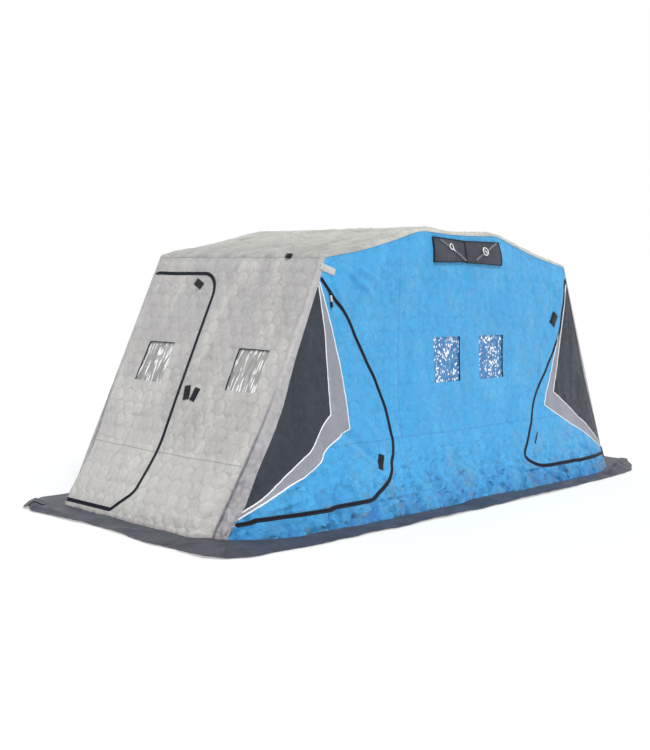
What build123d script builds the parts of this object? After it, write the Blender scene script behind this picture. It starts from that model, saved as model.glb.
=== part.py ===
from build123d import *
from math import atan2, cos, hypot, sin, tan
import os

# Ice fishing hut: a thermal fabric shelter with sloping ends, stretched over six bent tube bows.
# Millimetres. X runs along the hut, the front long wall faces -Y, Z is up.
# The origin is on the ground at the centre of the footprint.

# Overall form of the shelter
shelter_length = 4500.0
shelter_width = 1640.0
eave_spread = 2890.0
eave_height = 1735.0
ridge_spread = 930.0
ridge_height = 1950.0

# Fabric of walls and roof, with the outward bow of the long walls near the ground
fabric = 5.0
base_flare = 240.0
flare_height = 1400.0
flare_run = 700.0
flare_columns = 16
flare_rows = 10
surface_tolerance = 1.0
roof_turn_down = 45.0
roof_edge_radius = 30.0
corner_clearance = 0.5
seam_clearance = 0.2

# Snow skirt on the ground
skirt_thickness = 5.0
skirt_end_width = 390.0
skirt_side_width = 435.0
skirt_corner_radius = 160.0

# Bent square tube of the bows, and how close it lies to the fabric
tube = 25.0
tube_bend_radius = 85.0
seat_clearance = 0.3
tube_end = 20.0
spreader_tube = 20.0

# Pivot rails: the steel angles on the ground that carry all the bows
rail_plate = 4.0
rail_foot_width = 60.0
rail_margin = 32.0
pin_radius = 5.0
pin_clearance = 0.3
pin_head_radius = 9.0
pin_head_sides = 6
pin_head_height = 5.0
ground_pivot_left = -430.0
ground_pivot_right = 170.0
eave_pivot_left = (-350.0, 130.0)
eave_pivot_right = (70.0, 150.0)
ridge_pivot_left = (-280.0, 225.0)
ridge_pivot_right = (-90.0, 260.0)

# Zips: two tapes with a running gap, and a storm flap behind the gap
zip_gap = 5.0
zip_tape = 12.0
zip_proud = 1.0
tape_setback = 6.0
flap_step = 5.0
flap_thickness = 2.0
flap_reach = 25.0

# Doors in the long walls: lower edge over the ground, upper edge under the eave
side_door_bottom = 122.0
side_door_drop = 145.0
left_door_edge_top = -1480.0
left_door_bow_x = -1079.0
left_door_bow_z = 1130.0
left_door_edge_x = -800.0
left_door_edge_z = 545.0
left_door_corner_radius = 360.0
right_door_edge_top = 1450.0
right_door_shoulder_x = 1385.0
right_door_shoulder_z = 1190.0
right_door_shoulder_radius = 450.0
right_door_toe_x = 722.0
right_door_toe_z = 240.0
right_door_toe_radius = 60.0
right_door_heel_x = 950.0
right_door_heel_radius = 200.0

# Dark and grey sewn panels of those doors: top on the hinge side, outer corner, foot
panel_over_door = 10.0
dark_panel_corner = (1370.0, 690.0)
dark_panel_waist = (1600.0, 472.0)
grey_panel_corner = (1195.0, 604.0)
grey_panel_waist = (1560.0, 402.0)
panel_inset_at_top = 45.0
panel_foot = 152.0
grey_panel_drop = 16.0

# Door in the sloping end wall, in distances up the slope and across it
end_door_bottom = 53.0
end_header_height = 156.0
end_door_edge = 68.0
end_door_toe = 208.0
end_door_heel_up = 190.0
end_door_top_radius = 165.0
end_door_heel_radius = 80.0

# Clear windows
window_pane = 2.0
window_lap = 15.0
window_corner = 12.0
side_window_width = 310.0
side_window_height = 325.0
side_window_bottom = 857.0
side_window_centres = (-137.0, 417.0)
end_window_width = 280.0
end_window_height = 292.0
end_window_bottom = 940.0
end_window_door_centre = 425.0
end_window_wall_centre = 505.0

# Black cover over the vents under the front and back roof edge
vent_width = 820.0
vent_height = 180.0
vent_centre = 110.0
vent_top_drop = 60.0
vent_thickness = 8.0
vent_gap = 4.0
vent_clearance = 0.3

# Hook and loop straps that hold the rolled end door
strap_width = 34.0
strap_length = 110.0
strap_thickness = 3.0
strap_up = 840.0
strap_across = 60.0
strap_spacing = 45.0

half_length = shelter_length / 2
half_width = shelter_width / 2
eave_half = eave_spread / 2
ridge_half = ridge_spread / 2
end_run = half_length - eave_half
end_slope_length = hypot(end_run, eave_height)
end_lean = end_run / eave_height
outside = half_length + flare_run
deep = shelter_width + base_flare
side_door_top = eave_height - side_door_drop
panel_top = side_door_top + panel_over_door
end_door_top = end_slope_length - end_header_height


def corner_x(z):
    """X of the right-hand corner edge of the hut at height z."""
    return half_length - z * end_lean


def flare(x, z):
    """How far the long wall stands out beyond its top plane at this place."""
    from_corner = min(max(corner_x(z) - abs(x), 0.0) / flare_run, 1.0)
    across = 1.0 - (1.0 - from_corner) ** 2
    below_top = 1.0 - min(z / flare_height, 1.0)
    return base_flare * across * below_top**3


def inset(before, point, after, distance):
    """The corner at a point of the outline, moved in by a distance from both sides."""
    first = (Vector(*point) - Vector(*before)).normalized()
    second = (Vector(*after) - Vector(*point)).normalized()
    first_normal = Vector(first.Y, -first.X)
    second_normal = Vector(second.Y, -second.X)
    bisector = (first_normal + second_normal).normalized()
    moved = Vector(*point) + bisector * (distance / bisector.dot(first_normal))
    return (moved.X, moved.Y)


# Outline of the shelter seen from the front, clockwise from the left foot
foot_left = (-half_length, 0.0)
eave_left = (-eave_half, eave_height)
ridge_left = (-ridge_half, ridge_height)
ridge_right = (ridge_half, ridge_height)
eave_inner = inset(foot_left, eave_left, ridge_left, fabric)
ridge_inner = inset(eave_left, ridge_left, ridge_right, fabric)
end_angle = atan2(eave_height, end_run)
roof_angle = atan2(ridge_height - eave_height, eave_half - ridge_half)
turn_down_end = roof_turn_down / sin(end_angle - roof_angle)
eave_low = (
    -eave_half - turn_down_end * cos(end_angle),
    eave_height - turn_down_end * sin(end_angle),
)
ridge_low = (-ridge_half, ridge_height - roof_turn_down)


def mirrored(point):
    """The same point of an outline on the other side of the middle."""
    return (-point[0], point[1])


def face_of(*points):
    """A flat face with these corners."""
    return make_face(Polyline(*points, close=True))


def upright(outline, y_from, y_to):
    """A solid with an outline seen from the front, between two depths."""
    start = Plane.XZ.offset(-y_from) * outline
    return extrude(start, amount=y_to - y_from, dir=(0, 1, 0))


def through(outline):
    """A prism through the front half of the hut with an outline seen from the front."""
    return upright(outline, -deep, 0.0)


os.makedirs("parts", exist_ok=True)


def save(node, *solids):
    """Write one node, made of one or more solids."""
    shapes = [solid for shape in solids for solid in shape.solids()]
    whole = shapes[0] if len(shapes) == 1 else Compound(children=shapes)
    export_step(whole, f"parts/{node}.step")


def to_back(shape):
    """The like piece of the back wall, mirrored across the length of the hut."""
    return mirror(shape, about=Plane.XZ)


def to_right(shape):
    """The like piece of the right end, mirrored across the middle."""
    return mirror(shape, about=Plane.YZ)


# Curved surface of the front long wall, as a grid of points up the wall and along it
def wall_surface():
    rows = []
    top = ridge_height + fabric
    for row in range(flare_rows + 1):
        z = top * row / flare_rows
        reach = corner_x(z)
        line = []
        for column in range(flare_columns + 1):
            x = reach * (2.0 * column / flare_columns - 1.0)
            line.append(Vector(x, -half_width - flare(x, z), z))
        rows.append(line)
    return Face.make_surface_from_array_of_points(rows, tol=surface_tolerance)


wall_face = wall_surface()


def wall_sheet(depth, thickness):
    """The long wall as a sheet, starting at a depth behind its outer face."""
    sheet = Solid.extrude(wall_face, Vector(0, thickness, 0))
    return Pos(0, depth, 0) * sheet


cloth = wall_sheet(0.0, fabric)
tape = wall_sheet(-zip_proud, fabric + zip_proud)
flap_depth = fabric + flap_step
zip_depth = wall_sheet(-zip_proud, flap_depth + flap_thickness + zip_proud)
flap_sheet = wall_sheet(flap_depth, flap_thickness)


# Outlines of the two doors of a long wall; their hinge side runs on past the corner edge
def left_door_outline():
    toe = (left_door_edge_x, side_door_bottom)
    side = (left_door_edge_x, left_door_edge_z)
    top = (left_door_edge_top, side_door_top)
    bow = ThreePointArc(side, (left_door_bow_x, left_door_bow_z), top)
    rest = Polyline(top, (-outside, side_door_top), (-outside, side_door_bottom), toe, side)
    outline = make_face([bow, rest])
    return fillet(outline.vertices().sort_by_distance(Vector(*toe))[0], left_door_corner_radius)


def right_door_outline():
    heel = (right_door_heel_x, side_door_bottom)
    toe = (right_door_toe_x, right_door_toe_z)
    shoulder = (right_door_shoulder_x, right_door_shoulder_z)
    top = (right_door_edge_top, side_door_top)
    outline = face_of(top, (outside, side_door_top), (outside, side_door_bottom), heel, toe, shoulder)
    bends = [
        (heel, right_door_heel_radius),
        (toe, right_door_toe_radius),
        (shoulder, right_door_shoulder_radius),
    ]
    for corner, radius in bends:
        vertex = outline.vertices().sort_by_distance(Vector(*corner))[0]
        outline = fillet(vertex, radius)
    return outline


def grown(outline, amount):
    """The outline with its edge moved out, or in for a negative amount."""
    return offset(outline, amount, kind=Kind.ARC)


def ring(outline, from_edge, to_edge):
    """The band between two distances from an outline."""
    return grown(outline, to_edge) - grown(outline, from_edge)


def accent_outline(side, corner, waist, drop):
    """A sewn panel that is wide at a corner and runs out at the top and foot of the hinge."""
    top = (corner_x(panel_top) - panel_inset_at_top, panel_top)
    foot_z = panel_foot - drop
    points = [
        (outside, panel_top),
        top,
        corner,
        waist,
        (corner_x(foot_z), foot_z),
        (outside, foot_z),
    ]
    return face_of(*[(side * x, z) for x, z in points])


def side_door(side, outline):
    """Cloth, grey panel, dark panel and zip tape of one long-wall door."""
    inside = grown(outline, -zip_tape - seam_clearance)
    dark = accent_outline(side, dark_panel_corner, dark_panel_waist, 0.0)
    grey = accent_outline(side, grey_panel_corner, grey_panel_waist, grey_panel_drop)
    blue_piece = cloth & through(inside - grey)
    grey_piece = cloth & through((grey - dark) & inside)
    dark_piece = cloth & through(dark & inside)
    tape_piece = tape & through(ring(outline, -zip_tape, 0.0))
    return blue_piece, grey_piece, dark_piece, tape_piece


# The wall's zips end where they would run into the flaps behind the end walls
zip_end = (flap_depth + flap_thickness + corner_clearance) / sin(end_angle)
zip_zone = face_of(
    (-half_length + zip_end, 0.0),
    (-eave_half + zip_end, eave_height),
    (eave_half - zip_end, eave_height),
    (half_length - zip_end, 0.0),
)


def side_zip(outline):
    """The wall's half of a door zip, with the storm flap behind the running gap."""
    edge = zip_depth & through(ring(outline, zip_gap, zip_gap + zip_tape) & zip_zone)
    flap = flap_sheet & through(ring(outline, zip_gap - flap_reach, zip_gap) & zip_zone)
    return edge + flap


left_door = left_door_outline()
right_door = right_door_outline()
left_blue, left_grey, left_dark, left_tape = side_door(-1, left_door)
right_blue, right_grey, right_dark, right_tape = side_door(1, right_door)
left_zip = side_zip(left_door)
right_zip = side_zip(right_door)
save("front_left_door", left_blue)
save("front_left_door_grey_panel", left_grey)
save("front_left_door_dark_panel", left_dark)
save("front_left_door_tape", left_tape)
save("front_left_zip", left_zip)
save("front_right_door", right_blue)
save("front_right_door_grey_panel", right_grey)
save("front_right_door_dark_panel", right_dark)
save("front_right_door_tape", right_tape)
save("front_right_zip", right_zip)
save("back_left_door", to_back(left_blue))
save("back_right_door", to_back(right_blue))
save("back_grey_panels", to_back(left_grey), to_back(right_grey))
save("back_dark_panels", to_back(left_dark), to_back(right_dark))
save("back_zips", to_back(left_zip), to_back(right_zip), to_back(left_tape), to_back(right_tape))


# Long wall between the doors, and the low strips that stay under the doors
def side_windows(lap):
    """Outlines of the two windows of a long wall, larger all round by a lap."""
    outlines = []
    for centre in side_window_centres:
        outline = RectangleRounded(
            side_window_width + 2 * lap,
            side_window_height + 2 * lap,
            window_corner + lap,
        )
        middle = side_window_bottom + side_window_height / 2
        outlines.append(Pos(centre, middle) * outline)
    return outlines


wall_outline = face_of(
    (-outside, 0.0),
    (-outside, eave_low[1]),
    eave_low,
    ridge_low,
    mirrored(ridge_low),
    mirrored(eave_low),
    (outside, eave_low[1]),
    (outside, 0.0),
)
wall_cut = zip_gap + zip_tape + seam_clearance
wall_outline = wall_outline - grown(left_door, wall_cut) - grown(right_door, wall_cut)
for window in side_windows(0.0):
    wall_outline = wall_outline - window
sill_left = face_of(
    (-outside, 0.0),
    (left_door_edge_x, 0.0),
    (left_door_edge_x, side_door_bottom),
    (-outside, side_door_bottom),
)
sill_right = face_of(
    (right_door_heel_x, 0.0),
    (outside, 0.0),
    (outside, side_door_bottom),
    (right_door_heel_x, side_door_bottom),
)
wall_piece = cloth & through(wall_outline - sill_left - sill_right)
save("front_wall", wall_piece)
save("front_sill_left", cloth & through(wall_outline & sill_left))
save("front_sill_right", cloth & through(wall_outline & sill_right))
save("back_wall", to_back(cloth & through(wall_outline)))

pane_sheet = wall_sheet(fabric, window_pane)
panes = [pane_sheet & through(outline) for outline in side_windows(window_lap)]
save("front_windows", *panes)
save("back_windows", *[to_back(pane) for pane in panes])


# Vent cover: two black flaps side by side on the wall under the roof edge
def vent_cover():
    flap_width = (vent_width - vent_gap) / 2
    middle = ridge_height - vent_top_drop - vent_height / 2
    flaps = []
    for side in (-1, 1):
        centre = vent_centre + side * (flap_width + vent_gap) / 2
        outline = Pos(centre, middle) * Rectangle(flap_width, vent_height)
        back = -half_width - vent_clearance
        flaps.append(upright(outline, back - vent_thickness, back))
    return flaps


vents = vent_cover()
save("front_vent_cover", *vents)
save("back_vent_cover", *[to_back(flap) for flap in vents])


# Roof: three sheets whose long edges turn down over the walls
def roof_sheet(start, end, start_low, end_low):
    block = upright(face_of(start, end, end_low, start_low), -half_width, half_width)
    slope = (Vector(*end) - Vector(*start)).normalized()
    inward = Vector(slope.Y, -slope.X)
    overrun = slope * roof_turn_down * 2
    first = Vector(*start) + inward * fabric - overrun
    last = Vector(*end) + inward * fabric + overrun
    below = Vector(0, -roof_turn_down * 4)
    corners = [first, last, last + below, first + below]
    inner_half = half_width - fabric
    hollow_outline = face_of(*[(point.X, point.Y) for point in corners])
    hollow = upright(hollow_outline, -inner_half, inner_half)
    block = rounded_top(block, start, end, half_width, roof_edge_radius)
    first_corner = (first.X, first.Y)
    last_corner = (last.X, last.Y)
    hollow = rounded_top(hollow, first_corner, last_corner, inner_half, roof_edge_radius - fabric)
    return block - hollow


def rounded_top(block, start, end, half_depth, radius):
    """Round the two long upper edges of a roof block."""
    middle_x = (start[0] + end[0]) / 2
    middle_z = (start[1] + end[1]) / 2
    for side in (-1, 1):
        place = Vector(middle_x, side * half_depth, middle_z)
        edge = block.edges().sort_by_distance(place)[0]
        block = fillet(edge, radius)
    return block


roof_slope = roof_sheet(eave_left, ridge_left, eave_low, ridge_low)
save("roof_left_slope", roof_slope)
save("roof_right_slope", to_right(roof_slope))
save("roof_ridge", roof_sheet(ridge_left, ridge_right, ridge_low, mirrored(ridge_low)))

# Sloping end wall, from its foot to the underside of the roof sheet
end_up = Vector(end_run, 0, eave_height).normalized()
end_out = Vector(-eave_height, 0, end_run).normalized()
end_plane = Plane(origin=(-half_length, 0, 0), x_dir=(0, -1, 0), z_dir=end_out)
end_half = half_width - fabric - corner_clearance
foot_inner = (-half_length + fabric / sin(end_angle), 0.0)
roof_underside = fabric / sin(end_angle - roof_angle)
end_top_outer = (
    eave_left[0] - roof_underside * cos(end_angle),
    eave_left[1] - roof_underside * sin(end_angle),
)
end_slab = upright(face_of(foot_left, end_top_outer, eave_inner, foot_inner), -end_half, end_half)
end_top = end_slope_length - roof_underside + fabric / tan(end_angle - roof_angle)
end_corner_radius = (roof_edge_radius + fabric) / sin(end_angle - roof_angle)


def on_end(outline, from_face, to_face):
    """A solid with an outline on the end wall, between two depths behind its outer face."""
    return extrude(end_plane.offset(-from_face) * outline, amount=from_face - to_face)


def end_door_outline():
    corners = [
        (-shelter_width, end_door_bottom),
        (-end_door_toe, end_door_bottom),
        (-end_door_edge, end_door_heel_up),
        (-end_door_edge, end_door_top),
        (-shelter_width, end_door_top),
    ]
    outline = face_of(*corners)
    top = outline.vertices().sort_by_distance(Vector(*corners[3]))[0]
    outline = fillet(top, end_door_top_radius)
    heel = outline.vertices().sort_by_distance(Vector(*corners[2]))[0]
    return fillet(heel, end_door_heel_radius)


def end_window(centre, lap):
    width = end_window_width + 2 * lap
    height = end_window_height + 2 * lap
    middle = end_window_bottom + end_window_height / 2
    return Pos(centre, middle) * RectangleRounded(width, height, window_corner + lap)


def end_wall_outline():
    """The whole end wall, with upper corners that clear the rounded edges of the roof."""
    outline = face_of(
        (-end_half, -shelter_width),
        (end_half, -shelter_width),
        (end_half, end_top),
        (-end_half, end_top),
    )
    return fillet(outline.vertices().group_by(Axis.Y)[-1], end_corner_radius)


end_strip = end_wall_outline()
end_door = end_door_outline()
end_door_cloth = grown(end_door, -zip_tape - seam_clearance) & end_strip
end_door_window = end_window(-end_window_door_centre, 0.0)
end_wall_window = end_window(end_window_wall_centre, 0.0)
end_door_piece = end_slab & on_end(end_door_cloth - end_door_window, -fabric, 2 * fabric)
end_tape_zone = Pos(tape_setback, 0) * end_strip
end_tape = on_end(ring(end_door, -zip_tape, 0.0) & end_tape_zone, -zip_proud, fabric)
end_fixed = on_end(end_strip - grown(end_door, wall_cut) - end_wall_window, -fabric, 2 * fabric)
end_fixed = end_slab & end_fixed
header_start = end_door_top + wall_cut
header_zone = Pos(-end_half, header_start + end_half) * Rectangle(2 * end_half, 2 * end_half)
header_cut = on_end(header_zone, -fabric, 2 * fabric)
end_header = end_fixed & header_cut
end_wall_piece = end_fixed - header_cut
zip_edge = ring(end_door, zip_gap, zip_gap + zip_tape) & end_strip
zip_flap = ring(end_door, zip_gap - flap_reach, zip_gap) & end_strip
end_zip = on_end(zip_edge, -zip_proud, flap_depth + flap_thickness)
end_zip = end_zip + on_end(zip_flap, flap_depth, flap_depth + flap_thickness)
end_door_pane = on_end(end_window(-end_window_door_centre, window_lap), fabric, fabric + window_pane)
end_wall_pane = on_end(end_window(end_window_wall_centre, window_lap), fabric, fabric + window_pane)


def end_straps():
    """Two short straps in a V beside the door edge."""
    straps = []
    for side in (-1, 1):
        outline = Rectangle(strap_width, strap_length)
        place = Pos(strap_across + side * strap_spacing, strap_up + strap_length / 2)
        straps.append(on_end(place * outline, -strap_thickness, 0.0))
    return straps


straps = end_straps()
save("left_end_wall", end_wall_piece)
save("left_end_header", end_header)
save("left_end_door", end_door_piece)
save("left_end_door_tape", end_tape)
save("left_end_door_window", end_door_pane)
save("left_end_window", end_wall_pane)
save("left_end_zip", end_zip)
save("left_end_straps", *straps)
save("right_end_wall", to_right(end_fixed))
save("right_end_door", to_right(end_door_piece))
save("right_end_zip", to_right(end_zip), to_right(end_tape))
save("right_end_windows", to_right(end_door_pane), to_right(end_wall_pane))

# Bows: bent square tube in a U across the hut, from one pivot rail to the other
leg_y = half_width - fabric - seat_clearance - tube / 2


def seat_depth(direction, normals):
    """How far a tube's centre lies from a fabric corner when its own corners just clear it."""
    side = Vector(-direction.Y, direction.X)
    depths = []
    for normal in normals:
        reach = (abs(normal.dot(direction)) + abs(normal.dot(side))) * tube / 2
        depths.append((reach + seat_clearance) / normal.dot(direction))
    return max(depths)


def bow(pivot, crossbar):
    """One bow through two points seen from the front, its pivot and its crossbar."""
    foot = Vector(pivot[0], 0, pivot[1])
    top = Vector(crossbar[0], 0, crossbar[1])
    along = (top - foot).normalized()
    near = foot - along * tube_end
    to_front = Vector(0, -leg_y, 0)
    route = [near + to_front, top + to_front, top - to_front, near - to_front]
    path = FilletPolyline(*route, radius=tube_bend_radius)
    section = Plane(origin=route[0], x_dir=(0, 1, 0), z_dir=along) * Rectangle(tube, tube)
    tube_solid = sweep(section, path=path)
    hole = Cylinder(pin_radius + pin_clearance, 2 * shelter_width, rotation=(90, 0, 0))
    return tube_solid - Pos(foot.X, 0, foot.Z) * hole


def crossbar_at(pivot, corner, normals):
    """Centre of the crossbar that lies under a corner of the fabric."""
    away = (Vector(*corner) - Vector(*pivot)).normalized()
    centre = Vector(*corner) - away * seat_depth(away, normals)
    return (centre.X, centre.Y)


end_normal = Vector(-sin(end_angle), cos(end_angle))
slope_normal = Vector(-sin(roof_angle), cos(roof_angle))
ridge_normal = Vector(0, 1)
ground_reach = half_length - (fabric + seat_clearance) / sin(end_angle) - tube * end_lean - tube / 2
ground_z = tube / 2


def right_crossbar(pivot, corner, normals):
    """The crossbar of a bow on the right, worked out on the left and mirrored."""
    return mirrored(crossbar_at(mirrored(pivot), corner, normals))


bars = {
    "ground_bow_left": ((ground_pivot_left, ground_z), (-ground_reach, ground_z)),
    "ground_bow_right": ((ground_pivot_right, ground_z), (ground_reach, ground_z)),
    "eave_bow_left": (
        eave_pivot_left,
        crossbar_at(eave_pivot_left, eave_inner, [end_normal, slope_normal]),
    ),
    "eave_bow_right": (
        eave_pivot_right,
        right_crossbar(eave_pivot_right, eave_inner, [end_normal, slope_normal]),
    ),
    "ridge_bow_left": (
        ridge_pivot_left,
        crossbar_at(ridge_pivot_left, ridge_inner, [slope_normal, ridge_normal]),
    ),
    "ridge_bow_right": (
        ridge_pivot_right,
        right_crossbar(ridge_pivot_right, ridge_inner, [slope_normal, ridge_normal]),
    ),
}
bows = {}
for name, (pivot, crossbar) in bars.items():
    bows[name] = bow(pivot, crossbar)
    save(name, bows[name])


# Roof spreaders between neighbouring crossbars, cut to the tubes they meet
def spreader(first, second):
    start = Vector(bars[first][1][0], 0, bars[first][1][1])
    end = Vector(bars[second][1][0], 0, bars[second][1][1])
    along = end - start
    across = Plane(origin=start, x_dir=(0, 1, 0), z_dir=along)
    section = across * Rectangle(spreader_tube, spreader_tube)
    bar = extrude(section, amount=along.length)
    return (bar - bows[first] - bows[second]).solids().sort_by(SortBy.VOLUME)[-1]


save(
    "roof_spreaders",
    spreader("eave_bow_left", "ridge_bow_left"),
    spreader("ridge_bow_left", "ridge_bow_right"),
    spreader("ridge_bow_right", "eave_bow_right"),
)


# Pivot rail: a steel angle on the ground with one headed pin for each bow
def pivot_rail():
    pivots = [bars[name][0] for name in bars]
    left = ground_pivot_left - rail_margin
    right = ground_pivot_right + rail_margin
    plate = face_of(
        (left, 0.0),
        (right, 0.0),
        (right, ground_z + rail_margin),
        (eave_pivot_right[0] + rail_margin, eave_pivot_right[1] + rail_margin),
        (ridge_pivot_right[0] + rail_margin, ridge_pivot_right[1] + rail_margin),
        (ridge_pivot_left[0] - rail_margin, ridge_pivot_right[1] + rail_margin),
        (eave_pivot_left[0] - rail_margin, eave_pivot_left[1] + rail_margin),
        (left, ground_z + rail_margin),
    )
    inner = -leg_y + tube / 2
    rail = upright(plate, inner, inner + rail_plate)
    foot_outline = face_of((left, 0.0), (right, 0.0), (right, rail_plate), (left, rail_plate))
    rail = rail + upright(foot_outline, inner, inner + rail_foot_width)
    outer = -leg_y - tube / 2
    for x, z in pivots:
        head = Pos(x, z) * RegularPolygon(pin_head_radius, pin_head_sides)
        shank = Pos(x, z) * Circle(pin_radius)
        rail = rail + upright(head, outer - pin_head_height, outer)
        rail = rail + upright(shank, outer, inner)
    return rail


rail = pivot_rail()
save("pivot_rail_front", rail)
save("pivot_rail_back", to_back(rail))


# Snow skirt: a flat flap all round, sewn to the foot of the walls
def skirt():
    reach_x = half_length + skirt_end_width
    reach_y = half_width + skirt_side_width
    outline = RectangleRounded(2 * reach_x, 2 * reach_y, skirt_corner_radius)
    front_zone = face_of(
        (-half_length, -half_width),
        (half_length, -half_width),
        (reach_x, -reach_y),
        (-reach_x, -reach_y),
    )
    left_zone = face_of(
        (-half_length, -half_width),
        (-half_length, half_width),
        (-reach_x, reach_y),
        (-reach_x, -reach_y),
    )
    inside_wall = Solid.extrude(wall_face, Vector(0, half_width + base_flare, 0))
    front = extrude(outline & front_zone, amount=skirt_thickness) - inside_wall
    left = extrude(outline & left_zone, amount=skirt_thickness)
    return front, left


skirt_front, skirt_left = skirt()
save("skirt_front", skirt_front)
save("skirt_back", to_back(skirt_front))
save("skirt_left", skirt_left)
save("skirt_right", to_right(skirt_left))
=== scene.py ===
import math

import bpy
import numpy as np
from mathutils import Matrix, Vector


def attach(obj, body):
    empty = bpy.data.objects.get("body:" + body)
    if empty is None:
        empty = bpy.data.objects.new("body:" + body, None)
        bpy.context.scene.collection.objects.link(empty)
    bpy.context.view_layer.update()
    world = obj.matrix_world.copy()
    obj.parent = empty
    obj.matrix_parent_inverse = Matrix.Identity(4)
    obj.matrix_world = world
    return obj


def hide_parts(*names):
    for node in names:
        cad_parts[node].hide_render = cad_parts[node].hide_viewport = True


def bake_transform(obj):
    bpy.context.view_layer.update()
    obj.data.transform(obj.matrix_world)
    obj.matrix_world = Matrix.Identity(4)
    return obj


# Ice fishing hut: quilted cloth stretched over bent tube bows, on level ground.
# Metres. X runs along the hut, the front long wall faces -Y, Z is up.
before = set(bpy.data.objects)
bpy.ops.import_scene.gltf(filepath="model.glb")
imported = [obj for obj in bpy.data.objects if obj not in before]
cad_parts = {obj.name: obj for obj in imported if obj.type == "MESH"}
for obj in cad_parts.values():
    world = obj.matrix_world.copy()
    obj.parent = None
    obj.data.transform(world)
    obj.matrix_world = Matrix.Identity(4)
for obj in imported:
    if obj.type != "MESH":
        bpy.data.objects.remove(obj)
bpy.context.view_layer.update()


# View and light. The camera stands low off the left front corner, as in the photograph.
# One broad lamp high at the front models the folds, and a pale sky fills the shadows.
CAMERA_PLACE = (-6.7015, -5.7509, 1.5687)
CAMERA_YAW = math.radians(42.977)
CAMERA_PITCH = math.radians(-4.779)
CAMERA_ROLL = math.radians(1.162)
CAMERA_LENS = 54.14
SUN_FROM = (-0.15, -0.55, 0.82)
SUN_STRENGTH = 2.2
SUN_SPREAD = math.radians(18)
SKY_STRENGTH = 0.58
FLOOR_REACH = 40.0
FLOOR_COLOUR = "#f4f4f4"


def linear(colour):
    """An sRGB hex colour as linear red, green, blue and 1."""
    parts = np.array([int(colour[i:i + 2], 16) for i in (1, 3, 5)]) / 255.0
    dark = parts / 12.92
    light = ((parts + 0.055) / 1.055) ** 2.4
    return (*np.where(parts <= 0.04045, dark, light).tolist(), 1.0)


def add(tree, kind, inputs=None, **settings):
    """One shader node; inputs maps a socket to a value, or to the socket that feeds it."""
    node = tree.nodes.new("ShaderNode" + kind)
    for key, value in settings.items():
        setattr(node, key, value)
    for key, value in (inputs or {}).items():
        if isinstance(value, bpy.types.NodeSocket):
            tree.links.new(value, node.inputs[key])
        else:
            node.inputs[key].default_value = value
    return node


def camera_matrix():
    """The camera's turn and place from its yaw, pitch and roll."""
    forward = Vector((
        math.cos(CAMERA_YAW) * math.cos(CAMERA_PITCH),
        math.sin(CAMERA_YAW) * math.cos(CAMERA_PITCH),
        math.sin(CAMERA_PITCH),
    ))
    level = Vector((math.sin(CAMERA_YAW), -math.cos(CAMERA_YAW), 0.0))
    upright = level.cross(forward)
    right = level * math.cos(CAMERA_ROLL) + upright * math.sin(CAMERA_ROLL)
    top = upright * math.cos(CAMERA_ROLL) - level * math.sin(CAMERA_ROLL)
    turn = Matrix((right, top, -forward)).transposed().to_4x4()
    return Matrix.Translation(CAMERA_PLACE) @ turn


camera_data = bpy.data.cameras.new("camera")
camera_data.lens = CAMERA_LENS
camera_data.clip_end = 4 * FLOOR_REACH
camera = bpy.data.objects.new("camera", camera_data)
camera.matrix_world = camera_matrix()
bpy.context.scene.collection.objects.link(camera)
bpy.context.scene.camera = camera

sun_data = bpy.data.lights.new("sun", "SUN")
sun_data.energy = SUN_STRENGTH
sun_data.angle = SUN_SPREAD
sun = bpy.data.objects.new("sun", sun_data)
sun.rotation_euler = Vector(SUN_FROM).to_track_quat("Z", "Y").to_euler()
bpy.context.scene.collection.objects.link(sun)
bpy.context.scene.view_settings.view_transform = "Standard"

world = bpy.data.worlds.new("sky")
bpy.context.scene.world = world
world.use_nodes = True
sky = world.node_tree
sky.nodes.clear()
path = add(sky, "LightPath")
seen = add(sky, "Math", {0: path.outputs["Is Camera Ray"], 1: path.outputs["Is Glossy Ray"]},
           operation="MAXIMUM")
seen = add(sky, "Math", {0: seen.outputs[0], 1: path.outputs["Is Transmission Ray"]},
           operation="MAXIMUM")
level = add(sky, "MapRange", {0: seen.outputs[0], 3: SKY_STRENGTH, 4: 1.0})
background = add(sky, "Background", {"Color": (1, 1, 1, 1), "Strength": level.outputs[0]})
add(sky, "OutputWorld", {"Surface": background.outputs[0]})

floor_mesh = bpy.data.meshes.new("floor")
floor_corners = [(-1, -1), (1, -1), (1, 1), (-1, 1)]
floor_mesh.from_pydata([(x * FLOOR_REACH, y * FLOOR_REACH, 0.0) for x, y in floor_corners],
                       [], [(0, 1, 2, 3)])
floor = bpy.data.objects.new("floor", floor_mesh)
bpy.context.scene.collection.objects.link(floor)
floor_paint = bpy.data.materials.new("white_floor")
floor_paint.use_nodes = True
tree = floor_paint.node_tree
tree.nodes.clear()
matt = add(tree, "BsdfDiffuse", {"Color": linear(FLOOR_COLOUR)})
white = add(tree, "Emission", {"Color": (1, 1, 1, 1), "Strength": 1.0})
path = add(tree, "LightPath")
fade_out = add(tree, "Math", {0: path.outputs["Is Camera Ray"], 1: 0.45}, operation="MULTIPLY")
both = add(tree, "MixShader", {0: fade_out.outputs[0], 1: matt.outputs[0], 2: white.outputs[0]})
add(tree, "OutputMaterial", {"Surface": both.outputs[0]})
floor_mesh.materials.append(floor_paint)


# Bows and spreaders. Square steel tube, bent cold and coated with black powder.
# The coat gives the eye a soft even gloss with a fine orange peel and rubbed bends.
TUBE_COAT = "#26282b"
TUBE_RUBBED = "#55585c"
PEEL_SIZE = 0.0015


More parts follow.
